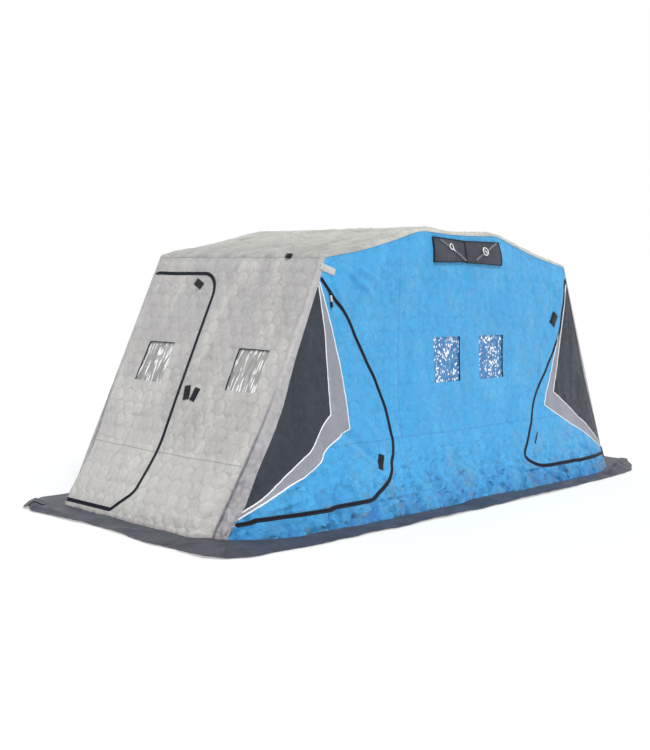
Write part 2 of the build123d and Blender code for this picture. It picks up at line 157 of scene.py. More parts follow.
def powder_coat(name, coat, rubbed, gloss):
    """Powder coat over steel: fine orange peel, and paler worn patches in large soft spots."""
    material = bpy.data.materials.new(name)
    material.use_nodes = True
    tree = material.node_tree
    shader = tree.nodes["Principled BSDF"]
    place = add(tree, "TexCoord").outputs["Object"]
    peel = add(tree, "TexNoise", {"Vector": place, "Scale": 1 / PEEL_SIZE, "Detail": 2.0})
    spots = add(tree, "TexNoise", {"Vector": place, "Scale": 14.0, "Detail": 5.0, "Roughness": 0.7})
    worn = add(tree, "MapRange", {0: spots.outputs[0], 1: 0.60, 2: 0.75})
    colour = add(tree, "MixRGB", {0: worn.outputs[0], 1: linear(coat), 2: linear(rubbed)})
    rough = add(tree, "MapRange", {0: spots.outputs[0], 3: gloss, 4: gloss + 0.25})
    bump = add(tree, "Bump", {"Height": peel.outputs[0], "Strength": 0.25, "Distance": 0.0003})
    tree.links.new(colour.outputs[0], shader.inputs["Base Color"])
    tree.links.new(rough.outputs[0], shader.inputs["Roughness"])
    tree.links.new(bump.outputs[0], shader.inputs["Normal"])
    return material


def dress(material, *names):
    """Give CAD nodes that stay visible their finish."""
    for name in names:
        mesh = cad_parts[name].data
        mesh.materials.clear()
        mesh.materials.append(material)


bow_coat = powder_coat("black_powder_coated_tube", TUBE_COAT, TUBE_RUBBED, 0.38)
dress(bow_coat, "roof_spreaders", *[
    f"{row}_bow_{side}" for row in ("ground", "eave", "ridge") for side in ("left", "right")
])

# Pivot rails. Pressed steel angles on the ground, coated like the bows but scuffed,
# with one headed pin for each bow.
RAIL_COAT = "#2e3033"
RAIL_RUBBED = "#7a7c7e"
dress(powder_coat("scuffed_powder_coated_steel", RAIL_COAT, RAIL_RUBBED, 0.45),
      "pivot_rail_front", "pivot_rail_back")


# Quilted cloth of the long walls. Blue woven polyester outside, batting, and a black lining,
# stitched in hexagons, cut so full that it bows out and crumples where it meets the ground.
HALF_LENGTH = 2.25
HALF_WIDTH = 0.82
EAVE_HALF = 1.445
EAVE_HEIGHT = 1.735
RIDGE_HALF = 0.465
RIDGE_HEIGHT = 1.95
LEAN = (HALF_LENGTH - EAVE_HALF) / EAVE_HEIGHT
BASE_FLARE = 0.24
FLARE_HEIGHT = 1.4
FLARE_RUN = 0.7
FABRIC = 0.005
ROOF_SAG = 0.022
QUILT_CELL = 0.105
CRUMPLE_TOP = 0.42
CRUMPLE_DEPTH = 0.018
LAP_UP = (0.0, 0.10, 0.23, 0.42, 0.68, 0.82, 1.10, 1.40, 1.60, 1.75)
LAP_WIDE = (0.010, 0.016, 0.044, 0.052, 0.085, 0.090, 0.062, 0.050, 0.040, 0.020)
RIGHT_LAP_SHARE = 0.5
LAP_COVERS = 0.006
ROOF_TUCK = 0.012


def hashed(i, j, seed):
    """A steady random number from 0 to 1 for each lattice point, from its two counts."""
    mixed = (i * 374761393 + j * 668265263 + seed * 144665) & 0xFFFFFFFF
    mixed = ((mixed ^ (mixed >> 13)) * 1274126177) & 0xFFFFFFFF
    return ((mixed ^ (mixed >> 16)) & 0xFFFF) / 65535.0


def noise(u, v, seed):
    """Smooth noise from -1 to 1: lattice values joined by a cubic fade along both ways."""
    i = np.floor(u).astype(np.int64)
    j = np.floor(v).astype(np.int64)
    fu = u - i
    fv = v - j
    fu = fu * fu * (3 - 2 * fu)
    fv = fv * fv * (3 - 2 * fv)
    low = hashed(i, j, seed) * (1 - fu) + hashed(i + 1, j, seed) * fu
    high = hashed(i, j + 1, seed) * (1 - fu) + hashed(i + 1, j + 1, seed) * fu
    return 2 * (low * (1 - fv) + high * fv) - 1


def crumple(u, v, seed):
    """Sharp creases between soft swells: octaves of noise folded at zero, on a warped lattice."""
    warped_u = u + 0.45 * noise(1.3 * u, 1.3 * v, seed + 1)
    warped_v = v + 0.45 * noise(1.3 * u, 1.3 * v, seed + 2)
    total = np.zeros_like(u)
    for octave, weight in enumerate((0.55, 0.28, 0.17)):
        scale = 2.0 ** octave
        total += weight * np.abs(noise(scale * warped_u, scale * warped_v, seed + 5 + octave))
    return 1 - 2 * total


def fade(value, start, end):
    """0 before start, 1 after end, with a smooth cubic step between them."""
    t = np.clip((value - start) / (end - start), 0, 1)
    return t * t * (3 - 2 * t)


def fold_along(u, v, folds):
    """Tapered folds: each runs from one place to another, a rounded ridge of a width and height."""
    total = np.zeros_like(u)
    for u_from, v_from, u_to, v_to, width, height in folds:
        along = np.array([u_to - u_from, v_to - v_from])
        length = math.hypot(*along)
        along = along / length
        t = ((u - u_from) * along[0] + (v - v_from) * along[1]) / length
        off = (v - v_from) * along[0] - (u - u_from) * along[1]
        off = off + 0.25 * width * noise(t * 6, off * 0, int(1000 * abs(u_from)))
        taper = fade(t, -0.05, 0.25) * (1 - fade(t, 0.6, 1.05))
        total += height * taper * np.exp(-(off / width) ** 2)
    return total


def quilt_puff(u, v):
    """How far the quilting stands up: 1 in the middle of a hexagon, falling as a cube to its stitching.

    The distance from the middle of the nearer of two wrapped lattices is measured across the flats."""
    far = np.full(np.shape(u), 1e9)
    across = np.zeros(np.shape(u))
    for shift in (0.0, 0.5):
        off_u = np.abs((u / QUILT_CELL - shift + 0.5) % 1.0 - 0.5)
        off_v = np.abs((v / QUILT_CELL - shift * math.sqrt(3) + math.sqrt(0.75)) % math.sqrt(3)
                       - math.sqrt(0.75))
        nearer = np.hypot(off_u, off_v) < far
        far = np.where(nearer, np.hypot(off_u, off_v), far)
        flats = np.maximum(off_u, 0.5 * off_u + math.sqrt(0.75) * off_v)
        across = np.where(nearer, flats, across)
    return 1 - np.clip(2 * across, 0, 1) ** 3


def corner_x(z):
    """How far the sloping corner edge stands from the middle at a height."""
    return HALF_LENGTH - z * LEAN


def lap(z, end):
    """How far the end wall's cloth is turned over the long wall at a corner."""
    share = np.where(np.asarray(end) < 0, 1.0, RIGHT_LAP_SHARE)
    return np.interp(z, LAP_UP, LAP_WIDE) * share


def cloth_edge(z, end):
    """How far from the middle the long wall's cloth ends, just under the turned-over end cloth."""
    return corner_x(z) - lap(z, end) + LAP_COVERS


FRONT_FOLDS = [
    (-1.34, 1.73, -0.88, 1.42, 0.024, 0.012),
    (-1.24, 1.72, -0.86, 1.54, 0.020, 0.008),
    (-1.38, 1.66, -1.15, 1.15, 0.022, 0.006),
    (1.42, 1.66, 1.02, 1.28, 0.022, 0.008),
    (1.44, 1.52, 1.12, 1.10, 0.020, 0.006),
    (-0.46, 1.90, -0.60, 1.45, 0.030, 0.005),
    (0.46, 1.90, 0.72, 1.40, 0.030, 0.006),
    (-2.14, 0.14, -1.30, 0.52, 0.020, 0.007),
    (-2.12, 0.13, -1.20, 0.34, 0.018, 0.008),
    (-2.05, 0.11, -1.50, 0.20, 0.014, 0.007),
    (-1.36, 0.66, -0.84, 0.25, 0.032, -0.020),
    (-1.28, 0.52, -0.90, 0.30, 0.020, 0.012),
    (-1.10, 0.70, -0.86, 0.44, 0.022, 0.008),
    (-0.93, 0.12, -0.74, 0.42, 0.030, -0.006),
    (1.10, 0.12, 1.36, 0.48, 0.020, 0.007),
    (2.12, 0.12, 1.55, 0.26, 0.022, 0.008),
    (-2.10, 0.03, -1.45, 0.06, 0.012, 0.008),
    (0.98, 0.60, 0.40, 0.34, 0.030, 0.005),
]


def away_from(path, x, z):
    """Distance from each place to the nearest point of a path."""
    nearest = np.full(np.shape(x), 1e9)
    for px, pz in path[::2]:
        nearest = np.minimum(nearest, (x - px) ** 2 + (z - pz) ** 2)
    return np.sqrt(nearest)


def flare_at(x, z):
    """How far the long wall bows out: a parabola from its corners times a cube of the height."""
    reach = np.clip(corner_x(z) - np.abs(x), 0, FLARE_RUN) / FLARE_RUN
    return BASE_FLARE * (1 - (1 - reach) ** 2) * (1 - np.clip(z / FLARE_HEIGHT, 0, 1)) ** 3


def roof_edge(x):
    """Height of the roof over a long wall: straight slopes that sag in half a sine wave."""
    past = np.clip((np.abs(x) - RIDGE_HALF) / (EAVE_HALF - RIDGE_HALF), 0, 1.2)
    level = 0.6 * np.cos(np.clip(x / RIDGE_HALF, -1, 1) * math.pi / 2)
    sag = ROOF_SAG * np.where(past > 0, np.sin(np.clip(past, 0, 1) * math.pi), level)
    return RIDGE_HEIGHT - past * (RIDGE_HEIGHT - EAVE_HEIGHT) - sag


def long_wall(side, seed, zips):
    """The surface of a long wall: place, and painted shade in its hollows, creases and along the ground,
    from x, height and lift.

    To the bow of the wall the cloth adds upright ripples, soft swells, tapered folds, and puffs
    between sharp creases that crowd towards the ground. Near a zip, a corner or the roof it is
    drawn flat."""

    def surface(x, z, lift=0.0):
        reach = np.clip(corner_x(z) - np.abs(x), 0, None)
        calm = np.ones(np.shape(x))
        for path in zips:
            calm = np.minimum(calm, fade(away_from(path, x, z), 0.012, 0.075))
        free = fade(reach, 0.02, 0.14) * fade(roof_edge(x) - z, 0.04, 0.18)
        top = CRUMPLE_TOP + 0.16 * noise(x / 0.45, z * 0, seed)
        foot = calm * (1 - fade(z, 0.06, top)) * (0.30 + 0.70 * fade(reach, 0.25, 0.9))
        ripple = crumple(x / 0.12, z / 0.55, seed + 30)
        slow = noise(x / 0.42, z / 0.60, seed + 40)
        crease = crumple(x / 0.15, z / 0.095, seed + 50)
        small = crumple(x / 0.065, z / 0.055, seed + 60)
        crush = foot * np.clip(0.9 * crease * np.abs(crease) + 0.45 * small - 0.2, -0.3, 1)
        relief = free * (
            0.0045 * ripple * (0.4 + 0.6 * calm)
            + 0.010 * (1 + slow)
            + 0.0018 * quilt_puff(x, z) * calm * (1 - 0.7 * foot)
            - CRUMPLE_DEPTH * crush
            + (0.5 + 0.5 * calm) * fold_along(x, z, FRONT_FOLDS)
        )
        relief = relief * fade(z, -0.04, 0.03)
        # Painted shade: the colour darkens in the ripples' hollows, in the crumpled creases near the
        # ground, and in a band along the foot of the wall.
        shade = 0.22 - 0.18 * ripple * free + 0.42 * crush + 0.30 * (1 - fade(z, 0.0, 0.34))
        out = HALF_WIDTH + flare_at(x, z) + relief + lift
        return np.stack([x, side * out, z], axis=-1), np.clip(shade, 0, 1)

    return surface


def mesh_of(name, points, quads, uv=None, painted_shade=None):
    """A mesh from arrays of points and quads, smooth but with sharp open edges."""
    mesh = bpy.data.meshes.new(name)
    mesh.vertices.add(len(points))
    mesh.vertices.foreach_set("co", np.asarray(points, np.float32).ravel())
    mesh.loops.add(4 * len(quads))
    mesh.loops.foreach_set("vertex_index", np.asarray(quads, np.int32).ravel())
    mesh.polygons.add(len(quads))
    mesh.polygons.foreach_set("loop_start", np.arange(0, 4 * len(quads), 4, dtype=np.int32))
    mesh.polygons.foreach_set("use_smooth", np.ones(len(quads), bool))
    mesh.update(calc_edges=True)
    edges = np.zeros(4 * len(quads), np.int32)
    mesh.loops.foreach_get("edge_index", edges)
    open_edge = np.bincount(edges, minlength=len(mesh.edges)) == 1
    mesh.attributes.new("sharp_edge", "BOOLEAN", "EDGE").data.foreach_set("value", open_edge)
    if uv is not None:
        flat = uv[np.asarray(quads).ravel()].astype(np.float32)
        mesh.uv_layers.new(name="cloth").data.foreach_set("uv", flat.ravel())
    # Painted shade for each point, kept as a vertex attribute that darkens the cloth's colour.
    if painted_shade is not None:
        mesh.attributes.new("painted_shade", "FLOAT", "POINT").data.foreach_set("value", painted_shade.astype(np.float32))
    mesh.validate()
    return mesh


def piece(name, mesh, body, materials, nodes=()):
    """Show a mesh in its finish, in place of CAD nodes.

    It moves with a body, or stays fixed where it is when given a tuple instead."""
    thing = bpy.data.objects.new(name, mesh)
    bpy.context.scene.collection.objects.link(thing)
    for material in materials:
        mesh.materials.append(material)
    if isinstance(body, tuple):
        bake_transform(thing)
    else:
        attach(thing, body)
    if nodes:
        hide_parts(*nodes)
    return thing


def grid(surface, patches, lift=0.0):
    """Points, quads, flat places and painted shade of joined patches of a surface.

    A patch is two arrays of places, rows by columns, and an array of the quads to keep or None.
    Points that patches share are one point. Quads are turned so that their faces look outwards."""
    places, quads, count = [], [], 0
    for u, v, keep in patches:
        index = np.arange(u.size).reshape(u.shape) + count
        quad = np.stack([index[:-1, :-1], index[:-1, 1:], index[1:, 1:], index[1:, :-1]], axis=-1)
        quads.append(quad[keep] if keep is not None else quad.reshape(-1, 4))
        places.append(np.stack([u.ravel(), v.ravel()], axis=-1))
        count += u.size
    places = np.concatenate(places)
    quads = np.concatenate(quads)
    used, quads = np.unique(quads, return_inverse=True)
    places = places[used]
    shared, inverse = np.unique(np.round(places, 6), axis=0, return_inverse=True)
    quads = inverse.ravel()[quads.reshape(-1, 4)]
    points, painted_shade = surface(shared[:, 0], shared[:, 1], lift)
    outer, _ = surface(shared[:, 0], shared[:, 1], lift + 0.01)
    corners = points[quads]
    facing = np.cross(corners[:, 2] - corners[:, 0], corners[:, 3] - corners[:, 1])
    outward = ((outer - points)[quads[:, 0]] * facing).sum(-1)
    quads[outward < 0] = quads[outward < 0][:, ::-1]
    return points, quads, shared, painted_shade


def cloth(name, surface, patches, body, materials, nodes=(),
          thick=FABRIC):
    """A sheet of cloth over patches of a surface, with the thickness of the real one.

    Its cut is those flat places."""
    points, quads, places, painted_shade = grid(surface, patches)
    thing = piece(name, mesh_of(name, points, quads, places, painted_shade), body, materials, nodes)
    shell = thing.modifiers.new("thickness", "SOLIDIFY")
    shell.thickness = thick
    shell.offset = -1
    shell.material_offset = len(materials) - 1
    return thing


def quilting(tree, place):
    """Stitched hexagons over flat places: the stitch line, a random share of painted shade for each cell,
    and the height.

    The cell is the nearer of two wrapped lattices. Each one is a low pillow with its own tilt."""
    half = (0.5, math.sqrt(0.75), 0.0)
    less = tuple(-part for part in half)
    cells = add(tree, "VectorMath", {0: place, "Scale": 1 / QUILT_CELL}, operation="SCALE")
    first = add(tree, "VectorMath", {0: cells.outputs[0], 1: half, 2: less}, operation="WRAP")
    moved = add(tree, "VectorMath", {0: cells.outputs[0], 1: half}, operation="SUBTRACT")
    second = add(tree, "VectorMath", {0: moved.outputs[0], 1: half, 2: less}, operation="WRAP")
    first_far = add(tree, "VectorMath", {0: first.outputs[0]}, operation="LENGTH")
    second_far = add(tree, "VectorMath", {0: second.outputs[0]}, operation="LENGTH")
    farther = add(tree, "Math", {0: first_far.outputs["Value"], 1: second_far.outputs["Value"]},
                  operation="GREATER_THAN")
    nearer = add(tree, "Mix", {"Factor": farther.outputs[0], 4: first.outputs[0],
                               5: second.outputs[0]}, data_type="VECTOR").outputs[1]
    centre = add(tree, "VectorMath", {0: cells.outputs[0], 1: nearer}, operation="SUBTRACT")
    chance = add(tree, "TexNoise", {"Vector": centre.outputs[0], "Scale": 0.77}, noise_dimensions="2D")
    tilt = add(tree, "VectorMath", {0: chance.outputs["Color"], 1: (0.5, 0.5, 0.0)}, operation="SUBTRACT")
    tilt = add(tree, "VectorMath", {0: tilt.outputs[0], 1: nearer}, operation="DOT_PRODUCT")
    offset = add(tree, "VectorMath", {0: nearer}, operation="ABSOLUTE")
    slant = add(tree, "VectorMath", {0: offset.outputs[0], 1: half}, operation="DOT_PRODUCT")
    straight = add(tree, "SeparateXYZ", {0: offset.outputs[0]})
    across = add(tree, "Math", {0: slant.outputs["Value"], 1: straight.outputs[0]}, operation="MAXIMUM")
    stitch = add(tree, "MapRange", {0: across.outputs[0], 1: 0.465, 2: 0.5})
    pillow = add(tree, "Math", {0: across.outputs[0], 1: 3.0}, operation="POWER")
    height = add(tree, "Math", {0: pillow.outputs[0], 1: -0.6, 2: tilt.outputs["Value"]},
                 operation="MULTIPLY_ADD")
    return stitch.outputs[0], chance.outputs["Fac"], height.outputs[0]


def facets(tree, place, size, tall):
    """Crumpled cloth as flat facets: in each Voronoi cell of a size, a plane with its own tilt.

    Gives the height in cell sizes and a random share for each cell."""
    wander = add(tree, "TexNoise", {"Vector": place, "Scale": 0.6 / size, "Detail": 2.0},
                 noise_dimensions="2D")
    bent = add(tree, "VectorMath", {0: wander.outputs["Color"], 1: (0.7 * size,) * 3, 2: place},
               operation="MULTIPLY_ADD")
    bent = add(tree, "VectorMath", {0: bent.outputs[0], 1: (1 / size, tall / size, 0.0)},
               operation="MULTIPLY")
    cell = add(tree, "TexVoronoi", {"Vector": bent.outputs[0], "Scale": 1.0}, voronoi_dimensions="2D")
    away = add(tree, "VectorMath", {0: bent.outputs[0], 1: cell.outputs["Position"]},
               operation="SUBTRACT")
    tilt = add(tree, "VectorMath", {0: cell.outputs["Color"], 1: (0.5, 0.5, 0.5)},
               operation="SUBTRACT")
    height = add(tree, "VectorMath", {0: away.outputs[0], 1: tilt.outputs[0]}, operation="DOT_PRODUCT")
    chance = add(tree, "SeparateXYZ", {0: cell.outputs["Color"]})
    return height.outputs["Value"], chance.outputs[0]


def sewn_line(tree, place, axis, where):
    """A straight sewn seam in flat places: 1 on the thread, 0 beside it, wandering a little."""
    wander = add(tree, "TexNoise", {"Vector": place, "Scale": 3.0}, noise_dimensions="2D")
    sway = add(tree, "MapRange", {0: wander.outputs[0], 3: where - 0.008, 4: where + 0.008})
    parts = add(tree, "SeparateXYZ", {0: place})
    gap = add(tree, "Math", {0: parts.outputs[axis], 1: sway.outputs[0]}, operation="SUBTRACT")
    gap = add(tree, "Math", {0: gap.outputs[0]}, operation="ABSOLUTE")
    return add(tree, "MapRange", {0: gap.outputs[0], 1: 0.0045, 2: 0.0015}).outputs[0]


def woven(name, colour, shade_and_seam, pale_and_bounce_lit, thread=0.0018, crinkle=0.5, rough=0.62, sheen=0.25, quilt=0.0,
          seams=(), stitched=0.45, crush=(0.0, 0.0), painted_bounce_foot=0.0):
    """Coated woven cloth in its own flat places: threads, upright crinkles, quilting and seams.

    Colour deepens as painted shade in folds, hollows and shaded parts, and on a random share of quilt cells
    and crumpled facets; it deepens along the stitching in some patches, pales at random in others, and
    pales towards the foot as painted light bounced up from the ground. Crush is how strong the facets of
    crumpled cloth are high up and at the foot."""
    material = bpy.data.materials.new(name)
    material.use_nodes = True
    tree = material.node_tree
    shader = tree.nodes["Principled BSDF"]
    shader.inputs["Sheen Weight"].default_value = sheen
    shader.inputs["Sheen Roughness"].default_value = 0.45
    shader.inputs["Specular IOR Level"].default_value = 0.3
    place = add(tree, "UVMap", uv_map="cloth").outputs[0]
    painted_shade = add(tree, "Attribute", attribute_name="painted_shade").outputs["Fac"]
    threads = add(tree, "TexVoronoi", {"Vector": place, "Scale": 1 / thread, "Randomness": 0.25},
                  distance="CHEBYCHEV", voronoi_dimensions="2D")
    tall = add(tree, "VectorMath", {0: place, 1: (1.0, 0.38, 1.0)}, operation="MULTIPLY")
    fine = add(tree, "TexNoise", {"Vector": tall.outputs[0], "Scale": 34.0, "Detail": 6.0,
                                  "Roughness": 0.6, "Distortion": 0.8}, noise_dimensions="2D")
    wide = add(tree, "TexNoise", {"Vector": tall.outputs[0], "Scale": 5.0, "Detail": 5.0},
               noise_dimensions="2D")
    up = add(tree, "SeparateXYZ", {0: place})
    # Painted light: the colour pales towards the foot, standing in for light bounced up from the white
    # ground.
    foot = add(tree, "MapRange", {0: up.outputs[1], 1: 1.6, 2: 0.0, 4: painted_bounce_foot})
    # Painted shade: the per-point shade attribute darkens the colour in folds, hollows and shaded parts.
    painted_fold_shade = add(tree, "MapRange", {0: painted_shade, 1: 0.25, 2: 1.0})
    light = add(tree, "MapRange", {0: wide.outputs[0], 1: 0.45, 2: 0.70, 4: 0.7})
    shade = add(tree, "MixRGB", {0: light.outputs[0], 1: linear(colour), 2: linear(pale_and_bounce_lit)})
    shade = add(tree, "MixRGB", {0: foot.outputs[0], 1: shade.outputs[0], 2: linear(pale_and_bounce_lit)})
    shade = add(tree, "MixRGB", {0: painted_fold_shade.outputs[0], 1: shade.outputs[0], 2: linear(shade_and_seam)})
    height = add(tree, "Math", {0: threads.outputs[0], 1: 0.0006}, operation="MULTIPLY")
    height = add(tree, "Math", {0: fine.outputs[0], 1: 0.006 * crinkle, 2: height.outputs[0]},
                 operation="MULTIPLY_ADD")
    lines = [add(tree, "Math", {0: sewn_line(tree, place, axis, where), 1: share},
                 operation="MULTIPLY").outputs[0] for axis, where, share in seams]
    if quilt:
        stitch, painted_cell_shade, puff = quilting(tree, place)
        # Painted shade: each quilt cell darkens by its own random share, standing in for the light on its
        # tilted pillow.
        painted_cell_shade = add(tree, "MapRange", {0: painted_cell_shade, 1: 0.35, 2: 0.65, 4: 0.13 * quilt})
        shade = add(tree, "MixRGB", {0: painted_cell_shade.outputs[0], 1: shade.outputs[0], 2: linear(shade_and_seam)})
        patchy = add(tree, "MapRange", {0: wide.outputs[0], 1: 0.40, 2: 0.60, 3: 0.12 * stitched,
                                        4: stitched})
        stitch = add(tree, "Math", {0: stitch, 1: patchy.outputs[0]}, operation="MULTIPLY")
        shade = add(tree, "MixRGB", {0: stitch.outputs[0], 1: shade.outputs[0], 2: linear(shade_and_seam)})
        height = add(tree, "Math", {0: puff, 1: 0.050 * quilt, 2: height.outputs[0]},
                     operation="MULTIPLY_ADD")
    if any(crush):
        low = add(tree, "MapRange", {0: up.outputs[1], 1: 0.50, 2: 0.05, 3: crush[0], 4: crush[1]})
        for size, tall, share in ((0.110, 0.7, 0.08), (0.040, 1.3, 0.16)):
            plane, chance = facets(tree, place, size, tall)
            steep = add(tree, "Math", {0: low.outputs[0], 1: 0.85 * size}, operation="MULTIPLY")
            height = add(tree, "Math", {0: plane, 1: steep.outputs[0], 2: height.outputs[0]},
                         operation="MULTIPLY_ADD")
            # Painted shade: a random share of the crumpled facets darkens, standing in for the light and
            # sheen each tilted facet catches.
            dark = add(tree, "MapRange", {0: chance, 1: 0.50, 2: 0.95, 4: share})
            dark = add(tree, "Math", {0: dark.outputs[0], 1: low.outputs[0]}, operation="MULTIPLY")
            shade = add(tree, "MixRGB", {0: dark.outputs[0], 1: shade.outputs[0], 2: linear(shade_and_seam)})
    for line in lines:
        shade = add(tree, "MixRGB", {0: line, 1: shade.outputs[0], 2: linear(shade_and_seam)})
        height = add(tree, "Math", {0: line, 1: -0.003, 2: height.outputs[0]}, operation="MULTIPLY_ADD")
    bump = add(tree, "Bump", {"Height": height.outputs[0], "Strength": 1.0, "Distance": 1.0})
    gloss = add(tree, "MapRange", {0: fine.outputs[0], 3: rough - 0.1, 4: rough + 0.12})
    tree.links.new(shade.outputs[0], shader.inputs["Base Color"])
    tree.links.new(gloss.outputs[0], shader.inputs["Roughness"])
    tree.links.new(bump.outputs[0], shader.inputs["Normal"])
    return material


def arc_path(corners, step=0.01):
    """A path through corners given as across, up and radius; each corner is an arc of its radius."""
    found = [np.array(corners[0][:2])]
    for before, here, after in zip(corners, corners[1:], corners[2:]):
        point, radius = np.array(here[:2]), here[2]
        back = np.array(before[:2]) - point
        on = np.array(after[:2]) - point
        back, on = back / np.hypot(*back), on / np.hypot(*on)
        half_turn = math.acos(np.clip(back @ on, -1, 1)) / 2
        middle = point + (back + on) / np.hypot(*(back + on)) * radius / math.sin(half_turn)
        start = point + back * radius / math.tan(half_turn) - middle
        sweep = math.pi - 2 * half_turn
        turn = np.sign(back[1] * on[0] - back[0] * on[1])
        angle = np.linspace(0, sweep, max(3, int(radius * sweep / step) + 2)) * turn
        arc_x = start[0] * np.cos(angle) - start[1] * np.sin(angle)
        arc_y = start[0] * np.sin(angle) + start[1] * np.cos(angle)
        found.extend(np.stack([arc_x, arc_y], axis=-1) + middle)
    found.append(np.array(corners[-1][:2]))
    return evenly(np.array(found), step)


def soft_path(*runs, step=0.01):
    """A path through runs of places: smooth in each run, with a corner where one meets the next.

    Between two places it is the Catmull-Rom cubic of them and of their neighbours."""
    found = []
    for run in runs:
        place = np.array(run, float)
        place = np.concatenate([[2 * place[0] - place[1]], place, [2 * place[-1] - place[-2]]])
        a, b, c, d = (place[k:len(place) - 3 + k, None] for k in range(4))
        t = np.linspace(0, 1, 12)[None, :, None]
        curve = 0.5 * (2 * b + (c - a) * t + (2 * a - 5 * b + 4 * c - d) * t ** 2
                       + (3 * b - a - 3 * c + d) * t ** 3)
        found.append(curve.reshape(-1, 2))
    return evenly(np.concatenate(found), step)


def evenly(points, step):
    """The same path with its points about one step apart."""
    far = np.concatenate([[0], np.cumsum(np.hypot(*np.diff(points, axis=0).T))])
    ask = np.linspace(0, far[-1], max(2, int(far[-1] / step) + 1))
    return np.stack([np.interp(ask, far, points[:, k]) for k in (0, 1)], axis=-1)


def beside(points, distance):
    """A path at a distance to the right of another one, seen along it."""
    along = np.gradient(points, axis=0)
    along = along / np.hypot(along[:, 0], along[:, 1])[:, None]
    return points + distance * np.stack([along[:, 1], -along[:, 0]], axis=-1)


def wavy(points, seed):
    """The same path drawn in and out a few millimetres by the stitching: noise along its length.

    It still rises, or falls, all the way, so that a level row of cloth meets it once."""
    far = 0.01 * np.arange(len(points))
    moved = beside(points, WAVE * noise(far / WAVE_LENGTH, 0 * far, seed)[:, None])
    way = np.sign(moved[-1, 1] - moved[0, 1])
    moved[:, 1] = way * np.maximum.accumulate(way * moved[:, 1])
    return moved


def across_at(points, height):
    """Where a path that rises all the way stands at each height."""
    order = np.argsort(points[:, 1], kind="stable")
    return np.interp(height, points[order, 1], points[order, 0])


def spaced(stops, step):
    """Values from the first stop to the last one, evenly spaced between stops and never over a step."""
    parts = [np.linspace(a, b, max(2, int(np.ceil((b - a) / step)) + 1))[:-1]
             for a, b in zip(stops, stops[1:])]
    return np.concatenate(parts + [[stops[-1]]])


def upright_patch(across, rows, keep=None):
    """A patch whose rows are level."""
    return across, np.repeat(rows[:, None], across.shape[1], axis=1), keep


def between(left, right, columns):
    """Rows of places from a left edge to a right edge, with the same share of columns in each."""
    share = np.linspace(0, 1, columns)
    return left[:, None] + (right - left)[:, None] * share


BLUE = "#3fa2da"
BLUE_SHADE_AND_SEAM = "#165aa8"
BLUE_PALE = "#4dabdf"
WALL_SEAM = 0.505
MIDDLE_SEAM = -0.69
LINING = "#17181b"
LINING_PALE = "#26282c"
ZIP_GAP = 0.005
TUCK = 0.004
WAVE = 0.0055
WAVE_LENGTH = 0.11
LEFT_ZIP = [(-2.34, 0.094), (-2.134, 0.100), (-2.062, 0.121), (-1.967, 0.1265), (-1.83, 0.128),
            (-1.58, 0.129), (-1.52, 0.132), (-1.455, 0.137), (-1.205, 0.138), (-1.124, 0.141),
            (-1.056, 0.172), (-0.976, 0.208), (-0.907, 0.251), (-0.861, 0.304), (-0.848, 0.353),
            (-0.815, 0.409), (-0.796, 0.484), (-0.802, 0.540), (-0.822, 0.66), (-0.868, 0.78),
            (-0.935, 0.908), (-1.08, 1.13), (-1.22, 1.33), (-1.334, 1.445), (-1.474, 1.585),
            (-1.53, 1.64)]
RIGHT_ZIP = [(1.475, 1.66), (1.462, 1.56), (1.444, 1.439), (1.39, 1.20), (1.31, 1.049),
             (1.217, 0.905), (1.086, 0.76), (0.976, 0.625), (0.899, 0.47), (0.812, 0.34),
             (0.738, 0.262), (0.748, 0.222), (0.80, 0.192), (0.92, 0.151), (1.05, 0.1455),
             (1.30, 0.1435), (1.60, 0.141), (1.90, 0.136), (2.18, 0.128), (2.34, 0.122)]
SEAM_LEFT = -0.665
SEAM_RIGHT = 0.590
DOOR_TOP = 1.607
WINDOW_CENTRES = (-0.137, 0.417)
WINDOW_WIDE = 0.310
WINDOW_LOW = 0.857
WINDOW_HIGH = 1.182

blue_cloth = woven("blue_quilted_polyester", BLUE, BLUE_SHADE_AND_SEAM, BLUE_PALE, quilt=0.3,
                   stitched=0.32, crush=(0.30, 1.10), seams=[(1, WALL_SEAM, 0.3), (0, MIDDLE_SEAM, 0.45)])
lining = woven("black_quilted_lining", LINING, LINING, LINING_PALE, crinkle=0.3, rough=0.7, quilt=0.6)
left_zip = wavy(soft_path(LEFT_ZIP), 21)
right_zip = wavy(soft_path(RIGHT_ZIP), 22)


def level_rows(low, high, step):
    """Heights of a wall's or door's rows: crowded where the zips run level, wider up the wall."""
    bands = ((0.150, 0.0028), (0.185, 0.0042), (0.235, 0.0062), (0.32, 0.72 * step), (0.50, step),
             (WINDOW_LOW, 1.5 * step), (WINDOW_HIGH, 1.5 * step), (high, 1.5 * step))
    rows = [np.array([low])]
    for top, gap in bands:
        rows.append(spaced([rows[-1][-1], top], gap)[1:])
    return np.concatenate(rows)


